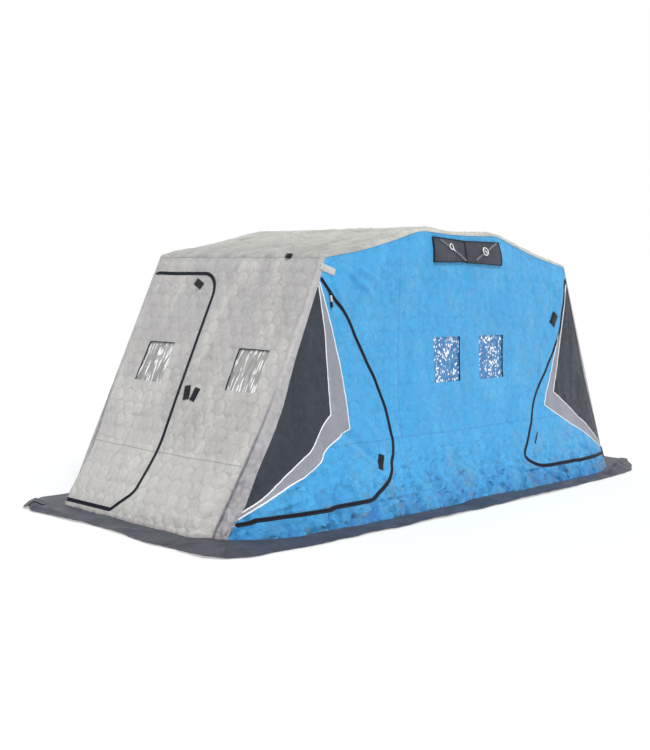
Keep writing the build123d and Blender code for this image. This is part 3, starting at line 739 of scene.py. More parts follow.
def wall_patches(step):
    """The long wall without its doors and windows: a band along the ground, two wings that follow
    the zips, a middle with the windows, and a band that rises to the roof."""
    left_edge = beside(left_zip, ZIP_GAP + TUCK)
    right_edge = beside(right_zip, ZIP_GAP + TUCK)
    sill = min(left_edge[:, 1].min(), right_edge[:, 1].min())
    rows = level_rows(sill, DOOR_TOP, step)
    half = WINDOW_WIDE / 2
    stops = [SEAM_LEFT, *[c + s * half for c in WINDOW_CENTRES for s in (-1, 1)], SEAM_RIGHT]
    middle = spaced(stops, 1.2 * step)
    face_x = (middle[:-1] + middle[1:]) / 2
    face_z = (rows[:-1] + rows[1:]) / 2
    in_window = np.zeros((len(face_z), len(face_x)), bool)
    for centre in WINDOW_CENTRES:
        inside_x = np.abs(face_x - centre) < half
        inside_z = (face_z > WINDOW_LOW) & (face_z < WINDOW_HIGH)
        in_window |= inside_z[:, None] & inside_x[None, :]
    left = np.maximum(across_at(left_edge, rows), -cloth_edge(rows, -1))
    right = np.minimum(across_at(right_edge, rows), cloth_edge(rows, 1))
    wing_left = between(left, np.full(len(rows), SEAM_LEFT), int(1.2 / step))
    wing_right = between(np.full(len(rows), SEAM_RIGHT), right, int(1.2 / step))
    lowest = np.concatenate([wing_left[0], middle[1:], wing_right[0][1:]])
    lowest = lowest[None, :]
    ground = spaced([0.0, rows[0]], step)[:, None]
    spread = cloth_edge(ground, lowest) / cloth_edge(rows[0], lowest)
    top_row = np.concatenate([wing_left[-1], middle[1:], wing_right[-1][1:]])
    beyond = np.linspace(0, 1, 3)[:-1]
    before = -cloth_edge(DOOR_TOP, -1) + beyond * (top_row[0] + cloth_edge(DOOR_TOP, -1))
    after = cloth_edge(DOOR_TOP, 1) - beyond[::-1] * (cloth_edge(DOOR_TOP, 1) - top_row[-1])
    top_row = np.concatenate([before, top_row, after])[None, :]
    share = np.linspace(0, 1, int(0.33 / step))[:, None]
    band = DOOR_TOP + share * (roof_edge(top_row * 0.97) - ROOF_TUCK - DOOR_TOP)
    narrowed = cloth_edge(band, top_row) / cloth_edge(DOOR_TOP, top_row)
    return [
        upright_patch(np.repeat(middle[None, :], len(rows), axis=0), rows, ~in_window),
        upright_patch(wing_left, rows),
        upright_patch(wing_right, rows),
        (lowest * spread, np.repeat(ground, lowest.size, axis=1), None),
        (top_row * narrowed, band, None),
    ]


front_wall = long_wall(-1, 10, (left_zip, right_zip))
back_wall = long_wall(1, 410, (left_zip, right_zip))
cloth("front_wall_cloth", front_wall, wall_patches(0.0125), "shell",
      [blue_cloth, lining], ["front_wall", "front_sill_left", "front_sill_right"])
cloth("back_wall_cloth", back_wall, wall_patches(0.017), "shell",
      [blue_cloth, lining], ["back_wall"])


# Doors of the long walls. Each is one flap of the same cloth, with a sewn grey panel and
# a charcoal one in flat polyester on the hinge side, edged with white piping.
GREY_PANEL = "#8c8e98"
CHARCOAL = "#2b313b"
LEFT_DARK = [(1.499, 1.61), (1.488, 1.551), (1.463, 1.415), (1.422, 1.224), (1.402, 1.026), (1.390, 0.86),
             (1.386, 0.708)], [(1.386, 0.708), (1.465, 0.643), (1.573, 0.506), (1.657, 0.452),
             (1.813, 0.364), (2.013, 0.236), (2.117, 0.179), (2.185, 0.130), (2.34, 0.02)]
LEFT_GREY = [(1.487, 1.61), (1.472, 1.546), (1.397, 1.355), (1.323, 1.157), (1.268, 0.977), (1.233, 0.776),
             (1.216, 0.602)], [(1.216, 0.602), (1.335, 0.555), (1.461, 0.489), (1.536, 0.413),
             (1.672, 0.345), (1.811, 0.298), (1.988, 0.221), (2.090, 0.170), (2.182, 0.116), (2.34, 0.01)]
RIGHT_DARK = [(1.497, 1.61), (1.46, 1.42), (1.42, 1.20), (1.385, 1.02), (1.350, 0.86), (1.307, 0.699)], [
    (1.307, 0.699), (1.404, 0.641), (1.527, 0.564), (1.653, 0.479), (1.784, 0.409), (1.90, 0.325),
    (2.04, 0.235), (2.17, 0.150), (2.34, 0.03)]
RIGHT_GREY = [(1.487, 1.61), (1.43, 1.35), (1.35, 1.08), (1.276, 0.878), (1.215, 0.74), (1.143, 0.607)], [
    (1.143, 0.607), (1.263, 0.548), (1.388, 0.488), (1.506, 0.428), (1.661, 0.368), (1.79, 0.307),
    (1.92, 0.24), (2.05, 0.185), (2.16, 0.140), (2.34, 0.03)]
LEAST = 0.0015
# The second colour of each panel cloth is its painted shade, for folds, hollows and crumpled facets.
grey_cloth = woven("grey_flat_polyester", GREY_PANEL, "#74757f", "#9a9ba4", crinkle=0.5,
                    crush=(0.2, 0.3))
charcoal_cloth = woven("charcoal_flat_polyester", CHARCOAL, "#1d222b", "#373d47", crinkle=0.6,
                       rough=0.5, sheen=0.08, crush=(0.25, 0.35))
left_lines = [soft_path(*line) for line in (LEFT_DARK, LEFT_GREY)]
right_lines = [soft_path(*line) for line in (RIGHT_DARK, RIGHT_GREY)]


def door_rows(zip_path, panel_lines, side, step):
    """Edges of the door's three cloths at each height: hinge, dark line, grey line and zip."""
    inner = beside(zip_path, -TUCK)
    on_wall = np.abs(inner[:, 0]) < cloth_edge(inner[:, 1], side)
    rows = level_rows(inner[on_wall, 1].min(), 1.585, step)
    hinge = cloth_edge(rows, side)
    edge = np.minimum(side * across_at(inner, rows), hinge - 3 * LEAST)
    dark = np.clip(across_at(panel_lines[0], rows), edge + 2 * LEAST, hinge - LEAST)
    grey = np.clip(across_at(panel_lines[1], rows), edge + LEAST, dark - LEAST)
    return rows, [side * line for line in (hinge, dark, grey, edge)]


def side_door(name, surface, zip_path, panel_lines, side, body, nodes, step):
    """The three cloths of one door, from the hinge to the zip."""
    rows, lines = door_rows(zip_path, panel_lines, side, step)
    finishes = [("dark_panel", charcoal_cloth, "charcoal_panel_cloth"),
                ("grey_panel", grey_cloth, "grey_panel_cloth"),
                ("blue", blue_cloth, "blue_cloth")]
    for k, (part, finish, slot) in enumerate(finishes):
        wide = np.abs(lines[k] - lines[k + 1]).max()
        across = between(lines[k], lines[k + 1], max(4, int(wide / step)))
        cloth(f"{name}_{part}_cloth", surface, [upright_patch(across, rows)], body,
              [finish, lining], nodes[k])


side_door("front_left_door", front_wall, left_zip, left_lines, -1, "front_left_door_body",
          [["front_left_door_dark_panel"], ["front_left_door_grey_panel"], ["front_left_door"]],
          0.011)
side_door("front_right_door", front_wall, right_zip, right_lines, 1, "front_right_door_body",
          [["front_right_door_dark_panel"], ["front_right_door_grey_panel"], ["front_right_door"]],
          0.012)
side_door("back_left_door", back_wall, left_zip, left_lines, -1, "shell", [[], [], ["back_left_door"]],
          0.017)
side_door("back_right_door", back_wall, right_zip, right_lines, 1, "shell",
          [["back_dark_panels"], ["back_grey_panels"], ["back_right_door"]],
          0.017)


# Piping. White cord under flat white binding, sewn into the joins between the door's cloths.
PIPING = [(-0.004, -0.002), (-0.004, 0.0006), (-0.002, 0.0020),
          (0.002, 0.0020), (0.004, 0.0006), (0.004, -0.002)]
ZIP_TAPE = 0.012
PIPING_WHITE = "#f2f3f5"
PIPING_SHADE = "#d5d8de"


def sweep(surface, path, profile):
    """A closed strip along a path: each profile point is an offset to its right and a lift.

    Points are surface(path + offset * right, lift); both ends are closed. Gives points, quads and
    flat places, which are distances along and around."""
    count, sides = len(path), len(profile)
    rows = [surface(*beside(path, offset).T, lift)[0] for offset, lift in profile]
    points = np.stack(rows, axis=1).reshape(-1, 3)
    index = np.arange(count * sides).reshape(count, sides)
    turned = np.roll(index, -1, axis=1)
    around = np.stack([index[:-1], turned[:-1], turned[1:], index[1:]], axis=-1).reshape(-1, 4)
    k = np.arange(sides // 2 - 1)
    cap = np.stack([k, k + 1, sides - 2 - k, sides - 1 - k], axis=-1)
    quads = np.concatenate([around, cap[:, ::-1], cap + (count - 1) * sides])
    corner = points[quads]
    volume = (corner[:, 0] * np.cross(corner[:, 1], corner[:, 2])).sum()
    volume += (corner[:, 0] * np.cross(corner[:, 2], corner[:, 3])).sum()
    if volume < 0:
        quads = quads[:, ::-1]
    far = np.concatenate([[0], np.cumsum(np.hypot(*np.diff(path, axis=0).T))])
    girth = np.concatenate([[0], np.cumsum(np.hypot(*np.diff(np.array(profile), axis=0).T))])
    flat = np.stack(np.meshgrid(far, girth, indexing="ij"), axis=-1).reshape(-1, 2)
    return points, quads, flat


def joined(name, parts):
    """One mesh from several lots of points, quads and flat places."""
    starts = np.cumsum([0] + [len(points) for points, _, _ in parts])
    points = np.concatenate([part[0] for part in parts])
    quads = np.concatenate([part[1] + start for part, start in zip(parts, starts)])
    return mesh_of(name, points, quads, np.concatenate([part[2] for part in parts]),
                   np.zeros(len(points)))


white_binding = woven("white_sewn_binding", PIPING_WHITE, PIPING_SHADE, PIPING_WHITE, thread=0.0012,
                      crinkle=0.1)


def door_piping(name, surface, zip_path, panel_lines, side, body):
    """White cords along both sewn joins of a door."""
    inner = beside(zip_path, -ZIP_TAPE)
    parts = []
    for line in panel_lines:
        on_door = line[(line[:, 1] < 1.578) & (line[:, 0] < cloth_edge(line[:, 1], side) - 0.009)
                       & (line[:, 0] > side * across_at(inner, line[:, 1]))]
        parts.append(sweep(surface, on_door * (side, 1), PIPING))
    piece(name, joined(name, parts), body, [white_binding])


door_piping("front_left_door_piping", front_wall, left_zip, left_lines, -1, "front_left_door_body")
door_piping("front_right_door_piping", front_wall, right_zip, right_lines, 1, "front_right_door_body")
door_piping("back_left_door_piping", back_wall, left_zip, left_lines, -1, "shell")
door_piping("back_right_door_piping", back_wall, right_zip, right_lines, 1, "shell")


# Zips. Black woven tape sewn over the edges of the cloth on both sides of a moulded coil,
# with a black storm flap on the wall behind it.
ZIP_BLACK = "#0a101e"
ZIP_SHINE = "#131a2a"
DOOR_TAPE = [(-0.0110, -0.0060), (-0.0110, 0.0006), (-0.0100, 0.0014), (-0.003, 0.0014),
             (-0.0018, 0.0006), (-0.0018, -0.0050), (-0.003, -0.0060), (-0.007, -0.0063)]
WALL_TAPE = [(0.0158, -0.0060), (0.0158, 0.0006), (0.0148, 0.0014), (0.008, 0.0014),
             (0.0068, 0.0006), (0.0068, -0.0050), (0.008, -0.0060), (0.012, -0.0063)]
STORM_FLAP = [(-0.020, -0.0125), (-0.020, -0.0105), (0.004, -0.0100), (0.011, -0.0070),
              (0.012, -0.0090), (0.006, -0.0125)]
COIL_RADIUS = 0.0016


def coil(across):
    """The profile of half a coil: a hexagon round a place across the zip."""
    turn = np.arange(6) * math.pi / 3
    return list(zip(across + COIL_RADIUS * np.cos(turn), COIL_RADIUS * np.sin(turn) - 0.0012))


zip_cloth = woven("black_zip_tape", ZIP_BLACK, "#07080c", ZIP_SHINE, thread=0.0010, crinkle=0.15,
                  rough=0.6, sheen=0.02)


def zip_of(name, surface, path, door_body, door_nodes, wall_nodes):
    """Both halves of a zip along a path whose right side is the wall."""
    door_half = [sweep(surface, path, profile) for profile in (DOOR_TAPE, coil(0.0002))]
    wall_half = [sweep(surface, path, profile) for profile in (WALL_TAPE, coil(0.0048), STORM_FLAP)]
    piece(name + "_door_tape", joined(name + "_door_tape", door_half), door_body,
          [zip_cloth], door_nodes)
    piece(name + "_wall_tape", joined(name + "_wall_tape", wall_half), "shell",
          [zip_cloth], wall_nodes)


def within_corner(path, margin=0.004):
    """The part of a path that stays clear of the end cloth turned over at the corner."""
    edge = cloth_edge(path[:, 1], path[:, 0]) - LAP_COVERS - margin
    return path[np.abs(path[:, 0]) < edge]


zip_of("front_left_zip", front_wall, within_corner(left_zip), "front_left_door_body",
       ["front_left_door_tape"], ["front_left_zip"])
zip_of("front_right_zip", front_wall, within_corner(right_zip), "front_right_door_body",
       ["front_right_door_tape"], ["front_right_zip"])
zip_of("back_left_zip", back_wall, within_corner(left_zip), "shell", [], ["back_zips"])
zip_of("back_right_zip", back_wall, within_corner(right_zip), "shell", [], [])


# End walls. Grey quilted cloth like the blue, stretched down the sloping end from the eave bow
# and pushed out at its foot by the snow skirt's pull; the left one has a door.
END_GREY = "#b6b4b4"
END_SHADE_AND_SEAM = "#86858c"
END_PALE_AND_BOUNCE_LIT = "#d0cfc9"
END_SEAM = 0.465
END_LENGTH = math.hypot(HALF_LENGTH - EAVE_HALF, EAVE_HEIGHT)
UP_X = (HALF_LENGTH - EAVE_HALF) / END_LENGTH
UP_Z = EAVE_HEIGHT / END_LENGTH
END_SWELL = 0.085
END_TOP = 1.905
END_ZIP = [(0.83, 1.758, 0), (0.071, 1.757, 0.165), (0.067, 0.190, 0.09), (0.208, 0.053, 0.03),
           (0.83, 0.052, 0)]
END_SIDE = 0.806
END_WINDOW_LOW = 0.940
END_WINDOW_HIGH = 1.232
END_WALL_WINDOW = (-0.645, -0.365)
END_DOOR_WINDOW = (0.285, 0.565)
END_FOLDS = [
    (-0.800, 0.98, -0.670, 0.02, 0.020, -0.007),
    (-0.60, 0.14, -0.45, 0.50, 0.030, 0.006),
    (0.16, 0.20, 0.40, 0.55, 0.030, 0.006),
]

# Its colour pales towards the foot as painted light bounced up from the white ground, and deepens as
# painted shade in hollows and creases.
grey_quilt = woven("grey_quilted_polyester", END_GREY, END_SHADE_AND_SEAM, END_PALE_AND_BOUNCE_LIT, crinkle=0.7, rough=0.55,
                   quilt=0.8, crush=(0.32, 0.22), painted_bounce_foot=0.6, seams=[(1, END_SEAM, 0.6)])
end_zip = arc_path(END_ZIP)


def swell(y, s):
    """How far the end wall's foot stands out: a smooth hump that dies towards both corners and up."""
    sides = fade(y, -0.715, -0.590) * fade(HALF_WIDTH - y, 0.016, 0.12)
    return END_SWELL * sides * (1 - fade(s, 0.0, 0.58))


def end_wall(end, seed):
    """The surface of an end wall from y, the distance up its slope and a lift: place, and painted shade.

    The sloping plane, plus the swollen foot, hexagon puffs, soft hollows and a few creases."""

    def surface(y, s, lift=0.0):
        free = fade(HALF_WIDTH - np.abs(y), 0.02, 0.12) * fade(END_TOP - s, 0.0, 0.10)
        foot = 1 - fade(s, 0.04, 0.30)
        ripple = crumple(y / 0.11, s / 0.34, seed)
        calm = fade(away_from(end_zip, y, s), 0.012, 0.075)
        crease = crumple(y / 0.10, s / 0.10, seed + 10)
        relief = free * (
            0.0045 * ripple * (0.4 + 0.6 * calm)
            + 0.010 * (1 + noise(y / 0.30, s / 0.45, seed + 20))
            + 0.0020 * quilt_puff(y, s) * calm
            - 0.008 * foot * calm * crease
            + fold_along(y, s, END_FOLDS)
        )
        out = relief * fade(s, -0.04, 0.03) + lift
        # Painted shade: darker in the ripples' hollows and in the creases at the foot.
        painted_hollow_shade = 0.22 - 0.20 * ripple * free + 0.25 * foot * calm * crease
        x = end * (HALF_LENGTH - UP_X * s + UP_Z * out + swell(y, s) / UP_Z)
        z = UP_Z * s + UP_X * out * fade(s, -0.01, 0.03)
        return np.stack([x, y, z], axis=-1), np.clip(painted_hollow_shade, 0, 1)

    return surface


def end_rows(start, stop, step):
    """Heights that crowd where the zip turns, and meet the windows' edges."""
    turn = np.linspace(0, math.pi / 2, 12)
    top = stop - 0.165 * (1 - np.cos(turn[::-1]))
    toe = start + 0.03 * (1 - np.cos(turn[::2]))
    return np.concatenate([toe, spaced([toe[-1], END_WINDOW_LOW, END_WINDOW_HIGH, top[0]], step)[1:],
                           top[1:]])


def with_window(across, rows, window):
    """Which quads of a patch stay when a window between two places is left out."""
    middle = (across[:-1, :-1] + across[1:, 1:]) / 2
    height = ((rows[:-1] + rows[1:]) / 2)[:, None]
    inside = (middle > window[0]) & (middle < window[1])
    return ~(inside & (height > END_WINDOW_LOW) & (height < END_WINDOW_HIGH))


def end_wall_patches(step):
    """The fixed end wall under its header: a foot band, a strip with the window, and one that
    follows the zip."""
    edge_path = beside(end_zip, ZIP_GAP + TUCK)
    rows = end_rows(0.053 - ZIP_GAP - TUCK, 1.757 + ZIP_GAP + TUCK, step)
    strip = spaced([-END_SIDE, *END_WALL_WINDOW, -0.30], step)
    strip = np.repeat(strip[None, :], len(rows), axis=0)
    edge = across_at(edge_path, rows)
    rest = between(np.full(len(rows), -0.30), edge, int(0.5 / step))
    foot = spaced([0.0, rows[0]], step)
    lowest = np.concatenate([strip[0], rest[0][1:], spaced([rest[0][-1], END_SIDE], step)[1:]])
    return rows, rest, [
        upright_patch(strip, rows, with_window(strip, rows, END_WALL_WINDOW)),
        upright_patch(rest, rows),
        upright_patch(np.repeat(lowest[None, :], len(foot), axis=0), foot),
    ]


def end_header_patch(step, rows, rest):
    """The band over the end door, up to the eave."""
    across = spaced([-END_SIDE, -0.30], step)
    across = np.concatenate([across, rest[-1][1:], spaced([rest[-1][-1], END_SIDE], step)[1:]])
    height = spaced([rows[-1], END_TOP], step)
    return upright_patch(np.repeat(across[None, :], len(height), axis=0), height)


def end_door_patches(step):
    """The end door: from the zip to its window, past the window, and on to the hinge."""
    rows = end_rows(0.053 + TUCK, 1.757 - TUCK, step)
    edge = across_at(beside(end_zip, -TUCK), rows)
    near = np.maximum(END_DOOR_WINDOW[0], edge + 0.02)
    first = between(edge, near, int(0.24 / step))
    second = between(near, np.full(len(rows), END_DOOR_WINDOW[1]), int(0.28 / step))
    third = between(np.full(len(rows), END_DOOR_WINDOW[1]), np.full(len(rows), END_SIDE),
                    int(0.24 / step))
    return [
        upright_patch(first, rows),
        upright_patch(second, rows, with_window(second, rows, END_DOOR_WINDOW)),
        upright_patch(third, rows),
    ]


left_end = end_wall(-1, 810)
right_end = end_wall(1, 910)
for end_name, end_surface, step, door_body, door_nodes in (
    ("left_end", left_end, 0.012, "left_end_door_body", ["left_end_door"]),
    ("right_end", right_end, 0.017, "shell", ["right_end_door"]),
):
    rows, rest, patches = end_wall_patches(step)
    header_nodes = ["left_end_header"] if end_name == "left_end" else []
    cloth(end_name + "_wall_cloth", end_surface, patches, "shell",
          [grey_quilt, lining], [end_name + "_wall"])
    cloth(end_name + "_header_cloth", end_surface, [end_header_patch(step, rows, rest)], "shell",
          [grey_quilt, lining], header_nodes)
    cloth(end_name + "_door_cloth", end_surface, end_door_patches(step), door_body,
          [grey_quilt, lining], door_nodes)

end_zip_on_cloth = end_zip[end_zip[:, 0] < END_SIDE - 0.02]
zip_of("left_end_zip", left_end, end_zip_on_cloth, "left_end_door_body",
       ["left_end_door_tape"], ["left_end_zip"])
zip_of("right_end_zip", right_end, end_zip_on_cloth, "shell", [], ["right_end_zip"])


# Corners. The end cloth is folded round the bent tube at each sloping corner and sewn to the
# long wall there; where a door hangs on the corner, this fold is its hinge.
CORNER_GREY = "#b3b1b2"
CORNER_SHADE = "#686572"
CORNER_PALE = "#c6c4c3"
CORNER_ROUND = 0.014
CORNER_SPANS = (0.0, 0.100 / UP_Z, 1.592 / UP_Z, 1.895)
CREASE_WIDE = 0.095
CREASE_TOP = 0.98


corner_grey = woven("grey_gathered_corner_polyester", CORNER_GREY, CORNER_SHADE, CORNER_PALE, crinkle=1.0,
                    rough=0.55, crush=(0.4, 0.8))


def corner_fold(end, side, end_surface, wall_surface):
    """The surface round a sloping corner from the way across it, the distance up and a lift.

    A quarter circle of the corner's radius; before it (across < 0) it lies on the end wall, and
    after it on the long wall."""

    def surface(across, s, lift=0.0):
        half = CORNER_ROUND * math.pi / 4
        angle = np.clip(across / CORNER_ROUND + math.pi / 4, 0, math.pi / 2)
        gather = crumple(across / 0.04, s / 0.07, 70 + end + side)
        lifted = lift + 0.0018 + 0.0012 * gather
        radius = CORNER_ROUND + lifted
        inward = CORNER_ROUND - radius * np.cos(angle)
        back = CORNER_ROUND - radius * np.sin(angle)
        x = HALF_LENGTH - UP_X * s - UP_Z * inward
        bend = np.stack([end * x, side * (HALF_WIDTH - back),
                         np.maximum(UP_Z * s - UP_X * inward, 0.0)], axis=-1)
        before = np.clip(-across - half, 0, None) + CORNER_ROUND
        on_end, _ = end_surface(side * (HALF_WIDTH - before), s, lifted)
        after = np.clip(across - half, 0, None) + CORNER_ROUND
        up = np.maximum(UP_Z * s - UP_X * UP_Z * after, 0.0)
        on_wall, _ = wall_surface(end * (corner_x(up) - after), up, lifted)
        points = np.where((across < -half)[..., None], on_end,
                          np.where((across > half)[..., None], on_wall, bend))
        # Painted shade: darker along the crease beside the fold, in the gathers, and towards the foot of
        # the corner.
        crease = np.exp(-((across - first_place(s) - 0.016) / 0.008) ** 2) * fade(1.1 - s, 0.0, 0.4)
        low = 0.30 * (1 - fade(s, 0.30, 0.95))
        return points, np.clip(0.26 - 0.24 * gather * (0.4 + 2 * low) + low + 0.6 * crease, 0, 1)

    return surface


def first_place(s):
    """Where the fold starts on the end wall: a narrow strip that widens towards the ground."""
    return -0.022 - CREASE_WIDE * np.clip(1 - s / CREASE_TOP, 0, 1) ** 1.3


def corner_cloths(end, side, surfaces, step, bends_with):
    """The three spans of one corner's fold; the middle one is left fixed in place, not attached to the
    shell, if a door hangs there.
    """
    where = ("left", "right")[end > 0] + ("_front", "_back")[side > 0]
    for k, (low, high) in enumerate(zip(CORNER_SPANS, CORNER_SPANS[1:])):
        rows = spaced([low, high], step)
        first = first_place(rows)
        last = lap(UP_Z * rows, end) - CORNER_ROUND * (1 - math.pi / 4)
        body = bends_with if k == 1 and bends_with else "shell"
        cloth(f"{where}_corner_{('foot', 'hinge', 'top')[k]}", corner_fold(end, side, *surfaces),
              [upright_patch(between(first, last, 22), rows)], body,
              [corner_grey, lining], thick=0.002)


LEFT_BEND = ((-2.25, -0.80, 0.0), (-2.234, -0.82, -0.007))
RIGHT_BEND = ((2.25, -0.80, 0.0), (2.234, -0.82, -0.007))
END_BEND = ((-2.234, 0.82, -0.007), (-2.25, 0.80, 0.0))
corner_cloths(-1, -1, (left_end, front_wall), 0.016, ("front_left_door_body", *LEFT_BEND))
corner_cloths(1, -1, (right_end, front_wall), 0.016, ("front_right_door_body", *RIGHT_BEND))
corner_cloths(-1, 1, (left_end, back_wall), 0.016, ("left_end_door_body", *END_BEND))
corner_cloths(1, 1, (right_end, back_wall), 0.016, None)


# Roof. Three lengths of the grey quilted cloth over the bows, hanging a little between them, with
# edges turned down over the walls and sewn there.
ROOF_GREY = "#c6c7bf"
ROOF_SHADE_AND_STITCH = "#92928f"
ROOF_PALE = "#cfd0c9"
ROOF_ROUND = 0.016
EAVE_LAP = 0.024
LAP_PROUD = 0.003
LAP_X = EAVE_HALF + UP_X * EAVE_LAP + UP_Z * LAP_PROUD
LAP_Z = EAVE_HEIGHT - UP_Z * EAVE_LAP + UP_X * LAP_PROUD
EAVE_X = EAVE_HALF + UP_Z * LAP_PROUD
ROOF_LINE = [(-LAP_X, LAP_Z, 0), (-EAVE_X, EAVE_HEIGHT, 0.03), (-RIDGE_HALF, RIDGE_HEIGHT, 0.30),
             (RIDGE_HALF, RIDGE_HEIGHT, 0.30), (EAVE_X, EAVE_HEIGHT, 0.03), (LAP_X, LAP_Z, 0)]

roof_quilt = woven("pale_quilted_polyester", ROOF_GREY, ROOF_SHADE_AND_STITCH, ROOF_PALE, crinkle=0.8, rough=0.55,
                   quilt=0.8, crush=(0.5, 0.5))
roof_path = arc_path(ROOF_LINE, 0.012)


def roof_surface(along, across, lift=0.0):
    """The roof from the distance along its outline, the distance across it and a lift.

    Along: the bent outline over the bows. Across: flat, then a quarter circle and a short drop at
    each long wall. Between the bows it hangs in half a sine wave on both sides of the spreader."""
    far = np.concatenate([[0], np.cumsum(np.hypot(*np.diff(roof_path, axis=0).T))])
    x = np.interp(along, far, roof_path[:, 0])
    z = np.interp(along, far, roof_path[:, 1])
    slope = np.gradient(roof_path, axis=0)
    slope = slope / np.hypot(slope[:, 0], slope[:, 1])[:, None]
    out_x = np.interp(along, far, -slope[:, 1])
    out_z = np.interp(along, far, slope[:, 0])
    flat = HALF_WIDTH + 0.003 - ROOF_ROUND
    past = np.clip(np.abs(across) - flat, 0, None)
    turn = np.clip(past / ROOF_ROUND, 0, math.pi / 2)
    radius = ROOF_ROUND + lift
    side = np.sign(across) * (np.minimum(np.abs(across), flat) + radius * np.sin(turn))
    drop = ROOF_ROUND - radius * np.cos(turn) + np.clip(past - ROOF_ROUND * math.pi / 2, 0, None)
    past_bow = np.clip((np.abs(x) - RIDGE_HALF) / (EAVE_HALF - RIDGE_HALF), 0, 1.2)
    straight = RIDGE_HEIGHT - past_bow * (RIDGE_HEIGHT - EAVE_HEIGHT)
    sag = (straight - roof_edge(x)) * (1 - 0.9 * np.exp(-(across / 0.16) ** 2))
    ripple = crumple(x / 0.20, across / 0.11, 610)
    relief = 0.0030 * quilt_puff(along, across) + 0.006 * ripple
    relief += 0.008 * (1 + noise(x / 0.4, across / 0.25, 620))
    over_bow = np.minimum(np.abs(EAVE_HALF - np.abs(x)), np.abs(RIDGE_HALF - np.abs(x)))
    relief = relief * fade(over_bow, 0.0, 0.10) * np.where(turn > 0, 0.3, 1) * (np.abs(x) < EAVE_HALF)
    fall = sag - relief
    points = [x - out_x * (drop + fall), side, z - out_z * (drop + fall)]
    # Painted shade: darker in the ripples' hollows, and over the left slope, which faces away from the
    # light.
    shaded = 0.42 * fade(-x, 0.3 * RIDGE_HALF, EAVE_HALF)
    return np.stack(points, axis=-1), np.clip(0.34 - 0.34 * ripple + shaded, 0, 1)


roof_far = np.hypot(*np.diff(roof_path, axis=0).T).sum()
roof_stops = [float(np.interp(x, roof_path[:, 0], np.concatenate(
    [[0], np.cumsum(np.hypot(*np.diff(roof_path, axis=0).T))]))) for x in (-RIDGE_HALF, RIDGE_HALF)]
ROOF_ACROSS = HALF_WIDTH + 0.003 - ROOF_ROUND + ROOF_ROUND * math.pi / 2 + 0.006
roof_stops = [0.0, *roof_stops, float(roof_far)]
roof_nodes = ("roof_left_slope", "roof_ridge", "roof_right_slope")
for k, node in enumerate(roof_nodes):
    along, across = np.meshgrid(spaced(roof_stops[k:k + 2], 0.015),
                                spaced([-ROOF_ACROSS, ROOF_ACROSS], 0.015), indexing="ij")
    cloth(node + "_cloth", roof_surface, [(along, across, None)], "shell",
          [roof_quilt, lining], [node])


# Windows. Sheets of clear vinyl sewn behind openings in the cloth and creased; a share of the crease facets
# flash white as painted reflections.
# On the shaded side of each opening a black strip along the cut edge is painted shade.
WINDOW_LAP = 0.014
WINDOW_SET_BACK = 0.0075
VINYL_BLUE = "#3f8fcb"
VINYL_GREY = "#b7b7b4"


def creased_vinyl(name, tint, dark, size, tall, slant, glints):
    """Clear vinyl as a tint of what lies behind it, broken into facets by creases.

    Slant leans the facets over, tall stretches them upright, and glints is the share of them that flash
    white as painted reflections.
    The other facets vary between the tint and the dark colour as painted shade and reflection."""
    material = bpy.data.materials.new(name)
    material.use_nodes = True
    tree = material.node_tree
    shader = tree.nodes["Principled BSDF"]
    shader.inputs["Specular IOR Level"].default_value = 0.8
    place = add(tree, "UVMap", uv_map="cloth").outputs[0]
    parts = add(tree, "SeparateXYZ", {0: place})
    leant = add(tree, "Math", {0: parts.outputs[1], 1: slant, 2: parts.outputs[0]},
                operation="MULTIPLY_ADD")
    place = add(tree, "CombineXYZ", {0: leant.outputs[0], 1: parts.outputs[1]}).outputs[0]
    plane, chance = facets(tree, place, size, tall)
    small, spark = facets(tree, place, 0.45 * size, tall)
    cloud = add(tree, "TexNoise", {"Vector": place, "Scale": 11.0, "Detail": 2.0},
                noise_dimensions="2D")
    where = add(tree, "MapRange", {0: cloud.outputs[0], 1: 0.40, 2: 0.60, 3: -0.12, 4: 0.12})
    spark = add(tree, "Math", {0: spark, 1: where.outputs[0]}, operation="ADD")
    # Painted reflections: the flashing facets turn white.
    flash = add(tree, "MapRange", {0: spark.outputs[0], 1: 0.94 - glints, 2: 1.06 - glints})
    # Painted shade and reflection: each facet is tinted between the tint and the dark colour by its own
    # random share.
    veil = add(tree, "MapRange", {0: chance, 1: 0.2, 2: 1.0, 4: 0.8})
    body = add(tree, "MixRGB", {0: veil.outputs[0], 1: linear(tint), 2: linear(dark)})
    colour = add(tree, "MixRGB", {0: flash.outputs[0], 1: body.outputs[0], 2: linear("#fbfcff")})
    rough = add(tree, "MapRange", {0: chance, 3: 0.12, 4: 0.35})
    clear = add(tree, "MapRange", {0: flash.outputs[0], 3: 0.82, 4: 1.0})
    height = add(tree, "Math", {0: small, 1: 0.5, 2: plane}, operation="MULTIPLY_ADD")
    bump = add(tree, "Bump", {"Height": height.outputs[0], "Strength": 0.8, "Distance": 0.4 * size})
    tree.links.new(colour.outputs[0], shader.inputs["Base Color"])
    tree.links.new(rough.outputs[0], shader.inputs["Roughness"])
    tree.links.new(clear.outputs[0], shader.inputs["Alpha"])
    tree.links.new(bump.outputs[0], shader.inputs["Normal"])
    return material


